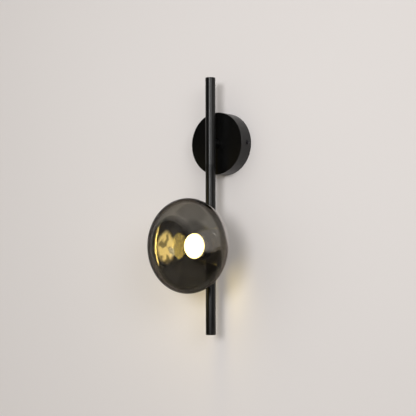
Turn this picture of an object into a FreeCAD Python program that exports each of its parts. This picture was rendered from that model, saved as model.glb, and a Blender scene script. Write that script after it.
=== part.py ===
import FreeCAD, Part

# Globe wall sconce: a round canopy, a vertical rod in front of it, and a flattened glass shade
# that stands off the front of the rod. Lengths are in millimetres.
#
# Every piece is drawn lying on the wall: x to the right, y up, z out of the wall into the room,
# with the origin on the wall behind the middle of the canopy. save() then stands the piece up, so
# that the finished part has +Z up, its front towards -Y and the wall in the plane y = 0.

import math
import os

V = FreeCAD.Vector

# Canopy
CANOPY_R = 50.0
CANOPY_DEPTH = 26.0
CANOPY_WALL = 1.2
CANOPY_EDGE_R = 0.6
SIDE_SCREW_OFF_WALL = 10.0
SIDE_SCREW_HOLE_R = 2.2

# Rod, upright in front of the canopy
ROD_R = 8.0
ROD_BORE_R = 6.8
ROD_OFF_WALL = 41.5
ROD_TOP = 104.5
ROD_LENGTH = 410.0
ROD_CAP = 3.0
ROD_CAP_EDGE_R = 0.9
CAP_SPIGOT = 8.0
CAP_SPIGOT_R = 6.75

# Glass shade: a flattened ball, alike front and back. Its outline runs from a nearly flat middle
# over a shoulder to a tight rim, three tangent arcs that keep close to an ellipse.
SHADE_HEIGHT = -165.0
SHADE_R = 74.0
SHADE_HALF_THICKNESS = 39.0
SHADE_OFF_WALL = 101.5
MIDDLE_ARC_R = 130.0
SHOULDER_ARC_R = 58.0
RIM_ARC_R = 23.0
GLASS = 2.0
NECK_R = 23.5
NECK_END = 60.5
NECK_FILLET = 1.0

# Wall bracket
STRAP_WIDTH = 16.0
STRAP_THICK = 1.5
EAR_FACE = 47.6
EAR_HEIGHT = 16.0
BEND_R = 3.0
EAR_CORNER_R = 4.0
UPPER_TAB = (17.0, 34.0)
LOWER_TAB = (16.0, 24.0)
TAB_CORNER_R = 4.0
TAPPED_M3_R = 1.5
WALL_SLOT_SPACING = 60.0
WALL_SLOT_LENGTH = 16.0
WALL_SLOT_WIDTH = 4.8
CABLE_HOLE_R = 6.0
EARTH_X = 9.5
EARTH_Y = -17.0
TAG_THICK = 0.8
TAG_RING_R = 3.9
TAG_BARREL = 5.0

# M10 threaded tubes and what is screwed on them
NIPPLE_R = 4.95
NIPPLE_BORE_R = 3.5
M10_HOLE_R = 5.0
M10_ACROSS_FLATS = 14.0
COLLAR_R = 7.0
INSERT_R = 6.75
INSERT_HALF_LENGTH = 9.0
WIRE_WAY_R = 4.0

# Holder cup, ring nut and the collar on the glass neck
CUP_BACK = 51.5
CUP_PLATE = 2.0
CUP_RIM = 59.0
CUP_R = 28.0
CUP_BORE_R = 26.0
RING_BACK = 54.0
RING_FRONT = 63.0
RING_R = 30.0
RING_LIP = 1.5
RING_CHAMFER = 0.7
RING_FLUTES = 36
RING_FLUTE_R = 1.2
RING_FLUTE_DEPTH = 0.45
THREAD_GAP = 0.3
NECK_COLLAR_R = 25.0
NECK_FLANGE_R = 27.0
NECK_FLANGE = 1.5
NECK_GRIP = 2.8
GASKET = 1.0

# Two-pin lampholder on two posts in the cup
HOLDER_BACK = 63.5
HOLDER_FRONT = 76.0
HOLDER_EAR = 4.0
HOLDER_SCREW_Y = 12.6
HOLDER_LEAD_X = 5.0
POST_R = 3.5
PIN_X = 4.5
PIN_LOOP_R = 1.6
PIN_WIRE_R = 0.45
PIN_TIP = 66.0

# Plug-in lamp
LAMP_R = 20.0
LAMP_RIM = 83.0
LAMP_STEM_R = 8.5
LAMP_RECESS_R = 18.2
LAMP_RECESS = 1.5
BOARD_THICK = 1.2
DOME_HEIGHT = 12.0
DOME_WALL = 1.2
CHIP_RING_R = 11.0
CHIP_HALF_WIDTH = 1.4
CHIP_THICK = 0.7
CHIPS = 12

# Terminal block and leads
BLOCK_Y = 22.0
BLOCK_HALF_LENGTH = 9.0
BLOCK_FOOT_R = 1.4
POLE_PITCH = 9.5
POLE_HEIGHT = 7.0
POLE_BARREL_R = 3.9
WEB_TOP = 5.0
TURRET_R = 3.0
TURRET_BORE_R = 1.9
TURRET_TOP = 14.5
CLAMP_SCREW_SPACING = 10.4
TUBE_R = 2.7
TUBE_BORE_R = 1.6
LEAD_R = 1.1
LEAD_APART = 1.3


# Helpers


def save(name, *solids):
    """Stands the piece up and writes it; like pieces that share a node are written as a group."""
    piece = solids[0] if len(solids) == 1 else Part.makeCompound(list(solids))
    piece.rotate(V(0, 0, 0), V(1, 0, 0), 90)
    piece.exportStep("parts/" + name + ".step")


def turned(profile, height=0.0):
    """Turns a closed outline of (radius, distance from the wall) about a line out of the wall."""
    corners = [V(radius, 0, out) for radius, out in profile]
    outline = Part.makePolygon(corners + corners[:1])
    solid = Part.Face(outline).revolve(V(0, 0, 0), V(0, 0, 1), 360)
    solid.translate(V(0, height, 0))
    return solid


def tube(outer_r, bore_r, start, end, height=0.0):
    """A plain tube that points out of the wall."""
    profile = [(bore_r, start), (outer_r, start), (outer_r, end), (bore_r, end)]
    return turned(profile, height)


def peg(radius, start, end, x=0.0, y=0.0):
    """A round bar that points out of the wall."""
    return Part.makeCylinder(radius, end - start, V(x, y, start), V(0, 0, 1))


def block(x_range, y_range, z_range):
    """A rectangular block between the given limits."""
    size = [high - low for low, high in (x_range, y_range, z_range)]
    return Part.makeBox(*size, V(x_range[0], y_range[0], z_range[0]))


def hexagon(across_flats, bore_r, start, end, height=0.0):
    """A hexagon nut with chamfered corners."""
    corner_r = across_flats / math.sqrt(3)
    chamfer = corner_r - across_flats / 2
    corners = [
        V(corner_r * math.cos(math.pi * side / 3), corner_r * math.sin(math.pi * side / 3), start)
        for side in range(6)
    ]
    prism = Part.Face(Part.makePolygon(corners + corners[:1])).extrude(V(0, 0, end - start))
    slope = chamfer * 0.6
    rounded = turned(
        [
            (bore_r, start),
            (across_flats / 2, start),
            (corner_r, start + slope),
            (corner_r, end - slope),
            (across_flats / 2, end),
            (bore_r, end),
        ]
    )
    nut = prism.common(rounded)
    nut.translate(V(0, height, 0))
    return nut


def circle_edges(shape, radius, out):
    """The round edges of this radius that lie at this distance from the wall."""
    return [
        edge
        for edge in shape.Edges
        if not edge.Degenerated
        and isinstance(edge.Curve, Part.Circle)
        and abs(edge.Curve.Radius - radius) < 1e-6
        and abs(edge.Curve.Center.z - out) < 1e-6
    ]


def upright_edges(shape):
    """The straight edges that point out of the wall."""
    return [
        edge
        for edge in shape.Edges
        if isinstance(edge.Curve, Part.Line) and abs(abs(edge.tangentAt(0).z) - 1) < 1e-6
    ]


def slot(length, width, x, y, start, end):
    """The space of a slotted hole that runs along x."""
    half_run = (length - width) / 2
    middle = block(
        (x - half_run, x + half_run), (y - width / 2, y + width / 2), (start, end)
    )
    ends = [peg(width / 2, start, end, x + side * half_run, y) for side in (-1, 1)]
    return middle.fuse(ends)


def pan_screw(head_r, head, shank_r, length):
    """A pan-head screw that points along -z, with the seat of its head at z = 0."""
    return turned(
        [
            (0, -length),
            (shank_r, -length),
            (shank_r, 0),
            (head_r, 0),
            (head_r, head * 0.45),
            (head_r * 0.72, head),
            (0, head),
        ]
    )


def route(stops):
    """A path of straight runs joined by tangent arcs; each inner stop is (point, bend radius)."""
    points = [stop[0] for stop in stops]
    edges = []
    start = points[0]
    for index in range(1, len(points) - 1):
        corner, radius = stops[index]
        run_in = (corner - points[index - 1]).normalize()
        run_out = (points[index + 1] - corner).normalize()
        half_turn = run_in.getAngle(run_out) / 2
        trim = radius * math.tan(half_turn)
        inward = (run_out - run_in).normalize()
        middle = corner + inward * (radius / math.cos(half_turn) - radius)
        arc_start = corner - run_in * trim
        arc_end = corner + run_out * trim
        edges.append(Part.LineSegment(start, arc_start).toShape())
        edges.append(Part.Arc(arc_start, middle, arc_end).toShape())
        start = arc_end
    edges.append(Part.LineSegment(start, points[-1]).toShape())
    return Part.Wire(edges)


def wire_along(path, radius):
    """A round wire or lead swept along a path."""
    first = path.Edges[0]
    section = Part.Wire(
        Part.Circle(first.valueAt(first.FirstParameter), first.tangentAt(0), radius).toShape()
    )
    solid = path.makePipeShell([section], True, False)
    print("wire volume / section x length:", solid.Volume / (math.pi * radius**2 * path.Length))
    return solid


# Wall bracket and what is fastened on it


def mounting_bracket():
    """A steel strap with bent ears for the side screws and tabs for the terminals and the earth."""
    half = STRAP_WIDTH / 2
    strap = block((-EAR_FACE, EAR_FACE), (-half, half), (0, EAR_HEIGHT))
    outer_bends = [
        edge
        for edge in strap.Edges
        if abs(edge.CenterOfMass.z) < 1e-6 and abs(abs(edge.CenterOfMass.x) - EAR_FACE) < 1e-6
    ]
    strap = strap.makeFillet(BEND_R, outer_bends)
    inside = EAR_FACE - STRAP_THICK
    hollow = block((-inside, inside), (-half - 1, half + 1), (STRAP_THICK, EAR_HEIGHT + 1))
    inner_bends = [
        edge
        for edge in hollow.Edges
        if abs(edge.CenterOfMass.z - STRAP_THICK) < 1e-6
        and abs(abs(edge.CenterOfMass.x) - inside) < 1e-6
    ]
    hollow = hollow.makeFillet(BEND_R - STRAP_THICK, inner_bends)
    strap = strap.cut(hollow)
    ear_corners = [
        edge
        for edge in strap.Edges
        if abs(edge.CenterOfMass.z - EAR_HEIGHT) < 1e-6
        and abs(abs(edge.CenterOfMass.y) - half) < 1e-6
    ]
    strap = strap.makeFillet(EAR_CORNER_R, ear_corners)

    upper_half, upper_reach = UPPER_TAB
    lower_half, lower_reach = LOWER_TAB
    upper_tab = block((-upper_half, upper_half), (0, upper_reach), (0, STRAP_THICK))
    lower_tab = block((-lower_half, lower_half), (-lower_reach, 0), (0, STRAP_THICK))
    tabs = [
        tab.makeFillet(TAB_CORNER_R, [e for e in upright_edges(tab) if abs(e.CenterOfMass.y) > 1])
        for tab in (upper_tab, lower_tab)
    ]
    bracket = strap.fuse(tabs).removeSplitter()

    through = (-1, STRAP_THICK + 1)
    holes = [
        slot(WALL_SLOT_LENGTH, WALL_SLOT_WIDTH, side * WALL_SLOT_SPACING / 2, 0, *through)
        for side in (-1, 1)
    ]
    holes.append(peg(CABLE_HOLE_R, *through))
    holes.append(peg(TAPPED_M3_R, *through, EARTH_X, EARTH_Y))
    holes.extend(peg(BLOCK_FOOT_R + 0.1, *through, x, BLOCK_Y) for x in block_foot_places())
    ear_holes = Part.makeCylinder(
        TAPPED_M3_R + 0.05, 2 * EAR_FACE + 2, V(-EAR_FACE - 1, 0, SIDE_SCREW_OFF_WALL), V(1, 0, 0)
    )
    holes.append(ear_holes)
    return bracket.cut(holes)


def earth_screw():
    """The pan-head screw that clamps the earth tag on the bracket."""
    seat = STRAP_THICK + TAG_THICK
    screw = pan_screw(3.5, 2.2, 1.45, seat)
    screw.translate(V(EARTH_X, EARTH_Y, seat))
    return screw


def earth_tag():
    """A ring tag with a crimped barrel that points up towards the terminal block."""
    start = STRAP_THICK
    end = start + TAG_THICK
    ring = peg(TAG_RING_R, start, end, EARTH_X, EARTH_Y)
    neck = block((EARTH_X - 1.5, EARTH_X + 1.5), (EARTH_Y, EARTH_Y + 6.5), (start, end))
    low = V(EARTH_X, EARTH_Y + 5.5, start + TAG_THICK + LEAD_R)
    barrel = Part.makeCylinder(LEAD_R + TAG_THICK, TAG_BARREL, low, V(0, 1, 0))
    bore = Part.makeCylinder(LEAD_R, TAG_BARREL + 2, low - V(0, 1, 0), V(0, 1, 0))
    hole = peg(TAPPED_M3_R + 0.1, start - 1, end + 1, EARTH_X, EARTH_Y)
    return ring.fuse([neck, barrel]).cut([bore, hole])


def pole_positions():
    """Where the three poles of the terminal block lie along x."""
    return [pole * POLE_PITCH for pole in (-1, 0, 1)]


def clamp_screw_places():
    """The six clamping screws of the terminal block, two on each pole."""
    return [
        (x, BLOCK_Y + side * CLAMP_SCREW_SPACING / 2)
        for x in pole_positions()
        for side in (-1, 1)
    ]


def block_foot_places():
    """Where the two moulded feet of the terminal block press into the bracket, along x."""
    return [side * POLE_PITCH / 2 for side in (-1, 1)]


def terminal_block():
    """A three-pole strip: one barrel a pole, with a turret over each clamping screw."""
    low = BLOCK_Y - BLOCK_HALF_LENGTH
    high = BLOCK_Y + BLOCK_HALF_LENGTH
    web = block((-POLE_PITCH, POLE_PITCH), (BLOCK_Y - 3.5, BLOCK_Y + 3.5), (STRAP_THICK, WEB_TOP))
    pieces = []
    for x in pole_positions():
        sides = (x - POLE_BARREL_R, x + POLE_BARREL_R)
        barrel_end = V(x, low, POLE_HEIGHT)
        pieces.append(block(sides, (low, high), (STRAP_THICK, POLE_HEIGHT)))
        pieces.append(Part.makeCylinder(POLE_BARREL_R, high - low, barrel_end, V(0, 1, 0)))
    for x, y in clamp_screw_places():
        pieces.append(peg(TURRET_R, POLE_HEIGHT, TURRET_TOP, x, y))
    for x in block_foot_places():
        pieces.append(peg(BLOCK_FOOT_R, 0.2, STRAP_THICK + 1, x, BLOCK_Y))
    cuts = [
        Part.makeCylinder(TUBE_R, high - low + 2, V(x, low - 1, POLE_HEIGHT), V(0, 1, 0))
        for x in pole_positions()
    ]
    cuts.extend(
        peg(TURRET_BORE_R, POLE_HEIGHT, TURRET_TOP + 0.5, x, y) for x, y in clamp_screw_places()
    )
    return web.fuse(pieces).removeSplitter().cut(cuts)


def terminal_clamps():
    """The brass tubes that take the bared ends of the leads."""
    low = BLOCK_Y - BLOCK_HALF_LENGTH + 1.5
    length = 2 * (BLOCK_HALF_LENGTH - 1.5)
    clamps = []
    for x in pole_positions():
        outside = Part.makeCylinder(TUBE_R, length, V(x, low, POLE_HEIGHT), V(0, 1, 0))
        bore = Part.makeCylinder(TUBE_BORE_R, length, V(x, low, POLE_HEIGHT), V(0, 1, 0))
        holes = [peg(1.25, POLE_HEIGHT, 12, at, y) for at, y in clamp_screw_places() if at == x]
        clamps.append(outside.cut([bore] + holes))
    return clamps


def terminal_screws():
    """Slotted clamping screws, screwed down until they touch the leads."""
    screws = []
    for x, y in clamp_screw_places():
        shank = peg(1.2, POLE_HEIGHT + TUBE_BORE_R - 0.4, TURRET_TOP - 4.0, x, y)
        head = peg(1.7, TURRET_TOP - 4.0, TURRET_TOP - 2.0, x, y)
        drive = block((x - 2, x + 2), (y - 0.25, y + 0.25), (TURRET_TOP - 2.7, TURRET_TOP - 1.5))
        screws.append(shank.fuse(head).cut(drive))
    return screws


# Canopy and the joint to the rod


def canopy():
    """A drawn cup, open to the wall, with a hole in its face and one on each side."""
    inner_r = CANOPY_R - CANOPY_WALL
    face_inside = CANOPY_DEPTH - CANOPY_WALL
    cup = turned(
        [
            (M10_HOLE_R, CANOPY_DEPTH),
            (CANOPY_R, CANOPY_DEPTH),
            (CANOPY_R, 0),
            (inner_r, 0),
            (inner_r, face_inside),
            (M10_HOLE_R, face_inside),
        ]
    )
    cup = cup.makeFillet(CANOPY_EDGE_R, circle_edges(cup, CANOPY_R, CANOPY_DEPTH))
    side_holes = Part.makeCylinder(
        SIDE_SCREW_HOLE_R, 2 * CANOPY_R + 2, V(-CANOPY_R - 1, 0, SIDE_SCREW_OFF_WALL), V(1, 0, 0)
    )
    return cup.cut(side_holes)


def canopy_screws():
    """The two pan-head screws that hold the canopy on the ears of the bracket."""
    screws = []
    for side in (-1, 1):
        screw = pan_screw(3.5, 2.0, 1.5, 6.5)
        screw.rotate(V(0, 0, 0), V(0, 1, 0), side * 90)
        screw.translate(V(side * CANOPY_R, 0, SIDE_SCREW_OFF_WALL))
        screws.append(screw)
    return screws


def canopy_nipple():
    """The threaded tube that clamps canopy, collar and rod together and lets the leads through."""
    return tube(NIPPLE_R, NIPPLE_BORE_R, 17.5, 38.5)


def canopy_lock_washer():
    """A toothed washer between the nut and the inside of the canopy."""
    face = CANOPY_DEPTH - CANOPY_WALL
    washer = tube(8.0, M10_HOLE_R + 0.1, face - 1.0, face)
    notches = []
    for tooth in range(10):
        notch = block((6.8, 9.0), (-0.6, 0.6), (face - 2, face + 1))
        notch.rotate(V(0, 0, 0), V(0, 0, 1), tooth * 36)
        notches.append(notch)
    return washer.cut(notches)


def canopy_nut():
    """The nut on the rear end of the threaded tube."""
    face = CANOPY_DEPTH - CANOPY_WALL - 1.0
    return hexagon(M10_ACROSS_FLATS, M10_HOLE_R, face - 4.0, face)


def saddle_collar(start, end, height):
    """A turned spacer, hollow for the threaded tube, whose end is cut to sit on the rod."""
    spacer = tube(COLLAR_R, M10_HOLE_R, start, end, height)
    return spacer.cut(rod_shape(ROD_R))


# Rod


def rod_shape(radius):
    """A solid bar the length of the rod."""
    bottom = V(0, ROD_TOP - ROD_LENGTH, ROD_OFF_WALL)
    return Part.makeCylinder(radius, ROD_LENGTH, bottom, V(0, 1, 0))


def rod_tube():
    """The tube between the caps, drilled at the back for the canopy and in front for the shade."""
    bottom = V(0, ROD_TOP - ROD_LENGTH + ROD_CAP, ROD_OFF_WALL)
    length = ROD_LENGTH - 2 * ROD_CAP
    outside = Part.makeCylinder(ROD_R, length, bottom, V(0, 1, 0))
    bore = Part.makeCylinder(ROD_BORE_R, length, bottom, V(0, 1, 0))
    rear_hole = peg(M10_HOLE_R, ROD_OFF_WALL - ROD_R - 1, ROD_OFF_WALL)
    front_hole = peg(M10_HOLE_R, ROD_OFF_WALL, ROD_OFF_WALL + ROD_R + 1, 0, SHADE_HEIGHT)
    return outside.cut([bore, rear_hole, front_hole])


def rod_cap(top):
    """A turned plug whose rounded head closes one end of the tube."""
    plug = turned(
        [
            (0, -CAP_SPIGOT),
            (CAP_SPIGOT_R, -CAP_SPIGOT),
            (CAP_SPIGOT_R, 0),
            (ROD_R, 0),
            (ROD_R, ROD_CAP),
            (0, ROD_CAP),
        ]
    )
    plug = plug.makeFillet(ROD_CAP_EDGE_R, circle_edges(plug, ROD_R, ROD_CAP))
    if top:
        plug.rotate(V(0, 0, 0), V(1, 0, 0), -90)
        plug.translate(V(0, ROD_TOP - ROD_CAP, ROD_OFF_WALL))
    else:
        plug.rotate(V(0, 0, 0), V(1, 0, 0), 90)
        plug.translate(V(0, ROD_TOP - ROD_LENGTH + ROD_CAP, ROD_OFF_WALL))
    return plug


def rod_insert(height, towards_wall, wires_down):
    """A slug in the rod, tapped for a threaded tube, with a way along the rod for the leads."""
    down = -1 if wires_down else 1
    low = V(0, height - INSERT_HALF_LENGTH, ROD_OFF_WALL)
    slug = Part.makeCylinder(INSERT_R, 2 * INSERT_HALF_LENGTH, low, V(0, 1, 0))
    if towards_wall:
        tapped = peg(M10_HOLE_R, ROD_OFF_WALL - ROD_R, ROD_OFF_WALL, 0, height)
    else:
        tapped = peg(M10_HOLE_R, ROD_OFF_WALL, ROD_OFF_WALL + ROD_R, 0, height)
    way = Part.makeCylinder(
        WIRE_WAY_R,
        INSERT_HALF_LENGTH + 5,
        V(0, height - down * 4, ROD_OFF_WALL),
        V(0, down, 0),
    )
    return slug.cut([tapped, way])


# Shade carrier


def arm_nipple():
    """The threaded tube from the rod to the holder cup."""
    return tube(NIPPLE_R, NIPPLE_BORE_R, 44.5, 57.0, SHADE_HEIGHT)


def holder_cup():
    """The cup that carries the lampholder on two posts and the ring nut on its rim."""
    plate_front = CUP_BACK + CUP_PLATE
    cup = turned(
        [
            (M10_HOLE_R, CUP_BACK),
            (CUP_R, CUP_BACK),
            (CUP_R, CUP_RIM),
            (CUP_BORE_R, CUP_RIM),
            (CUP_BORE_R, plate_front),
            (M10_HOLE_R, plate_front),
        ]
    )
    cup = cup.makeFillet(1.5, circle_edges(cup, CUP_R, CUP_BACK))
    posts = [
        peg(POST_R, plate_front, HOLDER_BACK, 0, side * HOLDER_SCREW_Y) for side in (-1, 1)
    ]
    holes = [
        peg(TAPPED_M3_R, HOLDER_BACK - 6.5, HOLDER_BACK, 0, side * HOLDER_SCREW_Y)
        for side in (-1, 1)
    ]
    cup = cup.fuse(posts).cut(holes)
    cup.translate(V(0, SHADE_HEIGHT, 0))
    return cup


def arm_nut():
    """The thin nut that clamps the cup on the threaded tube."""
    start = CUP_BACK + CUP_PLATE
    return hexagon(M10_ACROSS_FLATS, M10_HOLE_R, start, start + 3.0, SHADE_HEIGHT)


def lampholder():
    """The ceramic body: two pin pockets in front, two lead holes behind, an ear at each end."""
    body = block((-11.5, 11.5), (-8.5, 8.5), (HOLDER_BACK, HOLDER_FRONT))
    body = body.makeFillet(5.0, upright_edges(body))
    front_edges = [e for e in body.Edges if abs(e.CenterOfMass.z - HOLDER_FRONT) < 1e-6]
    body = body.makeFillet(0.8, front_edges)
    ears = block((-4.2, 4.2), (-16.5, 16.5), (HOLDER_BACK, HOLDER_BACK + HOLDER_EAR))
    ears = ears.makeFillet(3.5, upright_edges(ears))
    body = body.fuse(ears)
    cuts = [peg(1.7, HOLDER_BACK - 1, HOLDER_FRONT, 0, s * HOLDER_SCREW_Y) for s in (-1, 1)]
    for side in (-1, 1):
        x = side * PIN_X
        cuts.append(block((x - 1.8, x + 1.8), (-3.2, 3.2), (PIN_TIP - 0.5, HOLDER_FRONT + 1)))
        cuts.append(peg(LEAD_R + 0.2, HOLDER_BACK - 1, PIN_TIP, side * HOLDER_LEAD_X, 0))
    body = body.cut(cuts)
    body.translate(V(0, SHADE_HEIGHT, 0))
    return body


def lampholder_contacts():
    """A spring fork in each pocket, whose two blades close on a pin of the lamp."""
    forks = []
    bottom = PIN_TIP - 0.5
    for side in (-1, 1):
        x = side * PIN_X
        foot = block((x - 1.6, x + 1.6), (-2.4, 2.4), (bottom, bottom + 0.35))
        blades = [
            block((x + at - 0.15, x + at + 0.15), (-2.4, 2.4), (bottom, HOLDER_FRONT - 1.5))
            for at in (-1.45, 1.45)
        ]
        fork = foot.fuse(blades)
        fork.translate(V(0, SHADE_HEIGHT, 0))
        forks.append(fork)
    return forks


def lampholder_screws():
    """The two screws through the ears of the lampholder into the posts of the cup."""
    screws = []
    for side in (-1, 1):
        screw = pan_screw(2.75, 1.9, 1.45, HOLDER_EAR + 5.5)
        screw.translate(V(0, SHADE_HEIGHT + side * HOLDER_SCREW_Y, HOLDER_BACK + HOLDER_EAR))
        screws.append(screw)
    return screws


# Shade


def mirrored(point):
    """The point as far behind the widest plane of the shade as it lies in front of it."""
    return V(point.x, 0, -point.z)


def shade_arcs(inset, neck_r):
    """The outline from the neck to the front, as tangent arcs in the plane of radius and depth."""
    middle = V(0, 0, SHADE_HALF_THICKNESS - MIDDLE_ARC_R)
    rim = V(SHADE_R - RIM_ARC_R, 0, 0)
    apart = (rim - middle).Length
    to_middle = MIDDLE_ARC_R - SHOULDER_ARC_R
    to_rim = SHOULDER_ARC_R - RIM_ARC_R
    along = (to_middle**2 - to_rim**2 + apart**2) / (2 * apart)
    aside = math.sqrt(to_middle**2 - along**2)
    towards_rim = (rim - middle).normalize()
    shoulder = middle + towards_rim * along + V(-towards_rim.z, 0, towards_rim.x) * aside

    def on_arc(centre, radius, direction):
        return centre + direction.normalize() * (radius - inset)

    front = V(0, 0, SHADE_HALF_THICKNESS - inset)
    middle_end = on_arc(middle, MIDDLE_ARC_R, shoulder - middle)
    rim_start = on_arc(rim, RIM_ARC_R, rim - shoulder)
    widest = V(SHADE_R - inset, 0, 0)
    on_middle = on_arc(middle, MIDDLE_ARC_R, front + middle_end - middle * 2)
    on_shoulder = on_arc(shoulder, SHOULDER_ARC_R, middle_end + rim_start - shoulder * 2)

    drop = MIDDLE_ARC_R - inset
    neck_start = V(neck_r, 0, -(middle.z + math.sqrt(drop**2 - neck_r**2)))
    rear_middle = mirrored(middle)
    halfway_back = neck_start + mirrored(middle_end) - rear_middle * 2
    on_back = on_arc(rear_middle, MIDDLE_ARC_R, halfway_back)
    arcs = [
        (neck_start, on_back, mirrored(middle_end)),
        (mirrored(middle_end), mirrored(on_shoulder), mirrored(rim_start)),
        (mirrored(rim_start), widest, rim_start),
        (rim_start, on_shoulder, middle_end),
        (middle_end, on_middle, front),
    ]
    out = V(0, 0, SHADE_OFF_WALL)
    return [Part.Arc(*(point + out for point in arc)) for arc in arcs]


def glass_shade():
    """The blown ball, flattened front to back, with a short straight neck at the back."""
    bore_r = NECK_R - GLASS
    outside = shade_arcs(0, NECK_R)
    inside = shade_arcs(GLASS, bore_r)
    neck_outer = V(NECK_R, 0, NECK_END)
    neck_inner = V(bore_r, 0, NECK_END)
    lines = [
        Part.LineSegment(outside[-1].EndPoint, inside[-1].EndPoint),
        Part.LineSegment(inside[0].StartPoint, neck_inner),
        Part.LineSegment(neck_inner, neck_outer),
        Part.LineSegment(neck_outer, outside[0].StartPoint),
    ]
    edges = [curve.toShape() for curve in outside + inside + lines]
    outline = Part.Wire(Part.__sortEdges__(edges))
    shade = Part.Face(outline).revolve(V(0, 0, 0), V(0, 0, 1), 360)
    shade = shade.makeFillet(NECK_FILLET, circle_edges(shade, NECK_R, outside[0].StartPoint.z))
    shade.translate(V(0, SHADE_HEIGHT, 0))
    return shade


def neck_collar():
    """The flanged collar glued on the glass neck, with a small lip under the glass."""
    flange_front = NECK_END - 0.5 + NECK_FLANGE
    back = NECK_END - 0.5
    return turned(
        [
            (NECK_R - 1.5, back),
            (NECK_FLANGE_R, back),
            (NECK_FLANGE_R, flange_front),
            (NECK_COLLAR_R, flange_front),
            (NECK_COLLAR_R, NECK_END + NECK_GRIP),
            (NECK_R, NECK_END + NECK_GRIP),
            (NECK_R, NECK_END),
            (NECK_R - 1.5, NECK_END),
        ],
        SHADE_HEIGHT,
    )


def shade_gasket():
    """The silicone ring between the collar and the rim of the cup."""
    return tube(NECK_FLANGE_R, NECK_R + 0.5, CUP_RIM, CUP_RIM + GASKET, SHADE_HEIGHT)


def shade_ring():
    """The ring nut: threaded on the cup, with a lip in front of the collar and a fluted rim."""
    thread_r = CUP_R + THREAD_GAP
    lip_back = RING_FRONT - RING_LIP
    ring = turned(
        [
            (thread_r, RING_BACK),
            (RING_R - RING_CHAMFER, RING_BACK),
            (RING_R, RING_BACK + RING_CHAMFER),
            (RING_R, RING_FRONT - RING_CHAMFER),
            (RING_R - RING_CHAMFER, RING_FRONT),
            (NECK_COLLAR_R + THREAD_GAP, RING_FRONT),
            (NECK_COLLAR_R + THREAD_GAP, lip_back),
            (thread_r, lip_back),
        ]
    )
    flutes = []
    for flute in range(RING_FLUTES):
        angle = 2 * math.pi * flute / RING_FLUTES
        reach = RING_R + RING_FLUTE_R - RING_FLUTE_DEPTH
        flutes.append(
            peg(
                RING_FLUTE_R,
                RING_BACK - 1,
                RING_FRONT + 1,
                reach * math.cos(angle),
                reach * math.sin(angle),
            )
        )
    ring = ring.cut(flutes)
    ring.translate(V(0, SHADE_HEIGHT, 0))
    return ring


# Lamp


def lamp_body():
    """The plastic dish of the lamp, with a recess in front for the board."""
    return turned(
        [
            (0, HOLDER_FRONT),
            (LAMP_STEM_R, HOLDER_FRONT),
            (LAMP_STEM_R, HOLDER_FRONT + 1.2),
            (LAMP_R - 6.5, HOLDER_FRONT + 2.6),
            (LAMP_R - 1.4, LAMP_RIM - 2.4),
            (LAMP_R, LAMP_RIM - 1.0),
            (LAMP_R, LAMP_RIM),
            (LAMP_RECESS_R, LAMP_RIM),
            (LAMP_RECESS_R, LAMP_RIM - LAMP_RECESS),
            (0, LAMP_RIM - LAMP_RECESS),
        ],
        SHADE_HEIGHT,
    )


def lamp_dome():
    """The frosted dome, a thin shell cut from a ball."""
    ball_r = (LAMP_R**2 + DOME_HEIGHT**2) / (2 * DOME_HEIGHT)
    centre = V(0, SHADE_HEIGHT, LAMP_RIM + DOME_HEIGHT - ball_r)
    shell = Part.makeSphere(ball_r, centre).cut(Part.makeSphere(ball_r - DOME_WALL, centre))
    front_half = peg(LAMP_R + 5, LAMP_RIM, LAMP_RIM + DOME_HEIGHT + 5, 0, SHADE_HEIGHT)
    return shell.common(front_half)


def lamp_board():
    """The round board that lies in the recess of the lamp body."""
    floor = LAMP_RIM - LAMP_RECESS
    return peg(LAMP_RECESS_R - 0.2, floor, floor + BOARD_THICK, 0, SHADE_HEIGHT)


def lamp_chips():
    """The ring of LEDs on the board."""
    chips = []
    board_face = LAMP_RIM - LAMP_RECESS + BOARD_THICK
    half = CHIP_HALF_WIDTH
    for chip in range(CHIPS):
        angle = 2 * math.pi * chip / CHIPS
        x = CHIP_RING_R * math.cos(angle)
        y = SHADE_HEIGHT + CHIP_RING_R * math.sin(angle)
        die = block((x - half, x + half), (y - half, y + half), (board_face, board_face + CHIP_THICK))
        die.rotate(V(x, y, 0), V(0, 0, 1), math.degrees(angle))
        chips.append(die)
    return chips


def lamp_pins():
    """The two wire loops that stand on the base of the lamp."""
    pins = []
    for side in (-1, 1):
        x = side * PIN_X
        bend = PIN_TIP + PIN_WIRE_R + PIN_LOOP_R
        legs = [V(x, side_y * PIN_LOOP_R, HOLDER_FRONT) for side_y in (-1, 1)]
        bends = [V(x, side_y * PIN_LOOP_R, bend) for side_y in (-1, 1)]
        tip = V(x, 0, bend - PIN_LOOP_R)
        path = Part.Wire(
            [
                Part.LineSegment(legs[0], bends[0]).toShape(),
                Part.Arc(bends[0], tip, bends[1]).toShape(),
                Part.LineSegment(bends[1], legs[1]).toShape(),
            ]
        )
        loop = wire_along(path, PIN_WIRE_R)
        loop.translate(V(0, SHADE_HEIGHT, 0))
        pins.append(loop)
    return pins


# Leads held inside the lamp all the way


def supply_lead(pole_x, side):
    """One lead: terminal block, rear threaded tube, down the rod, front threaded tube, holder."""
    x = side * LEAD_APART
    axis = ROD_OFF_WALL
    into_rod = 3.6
    return wire_along(
        route(
            [
                (V(pole_x, BLOCK_Y - 4.0, POLE_HEIGHT), 0),
                (V(pole_x, 7.0, POLE_HEIGHT), 5.0),
                (V(x, 0, POLE_HEIGHT), 4.0),
                (V(x, 0, axis), into_rod),
                (V(x, SHADE_HEIGHT, axis), into_rod),
                (V(x, SHADE_HEIGHT, 57.5), 6.0),
                (V(side * HOLDER_LEAD_X, SHADE_HEIGHT, 62.0), 6.0),
                (V(side * HOLDER_LEAD_X, SHADE_HEIGHT, PIN_TIP - 0.6), 0),
            ]
        ),
        LEAD_R,
    )


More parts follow.
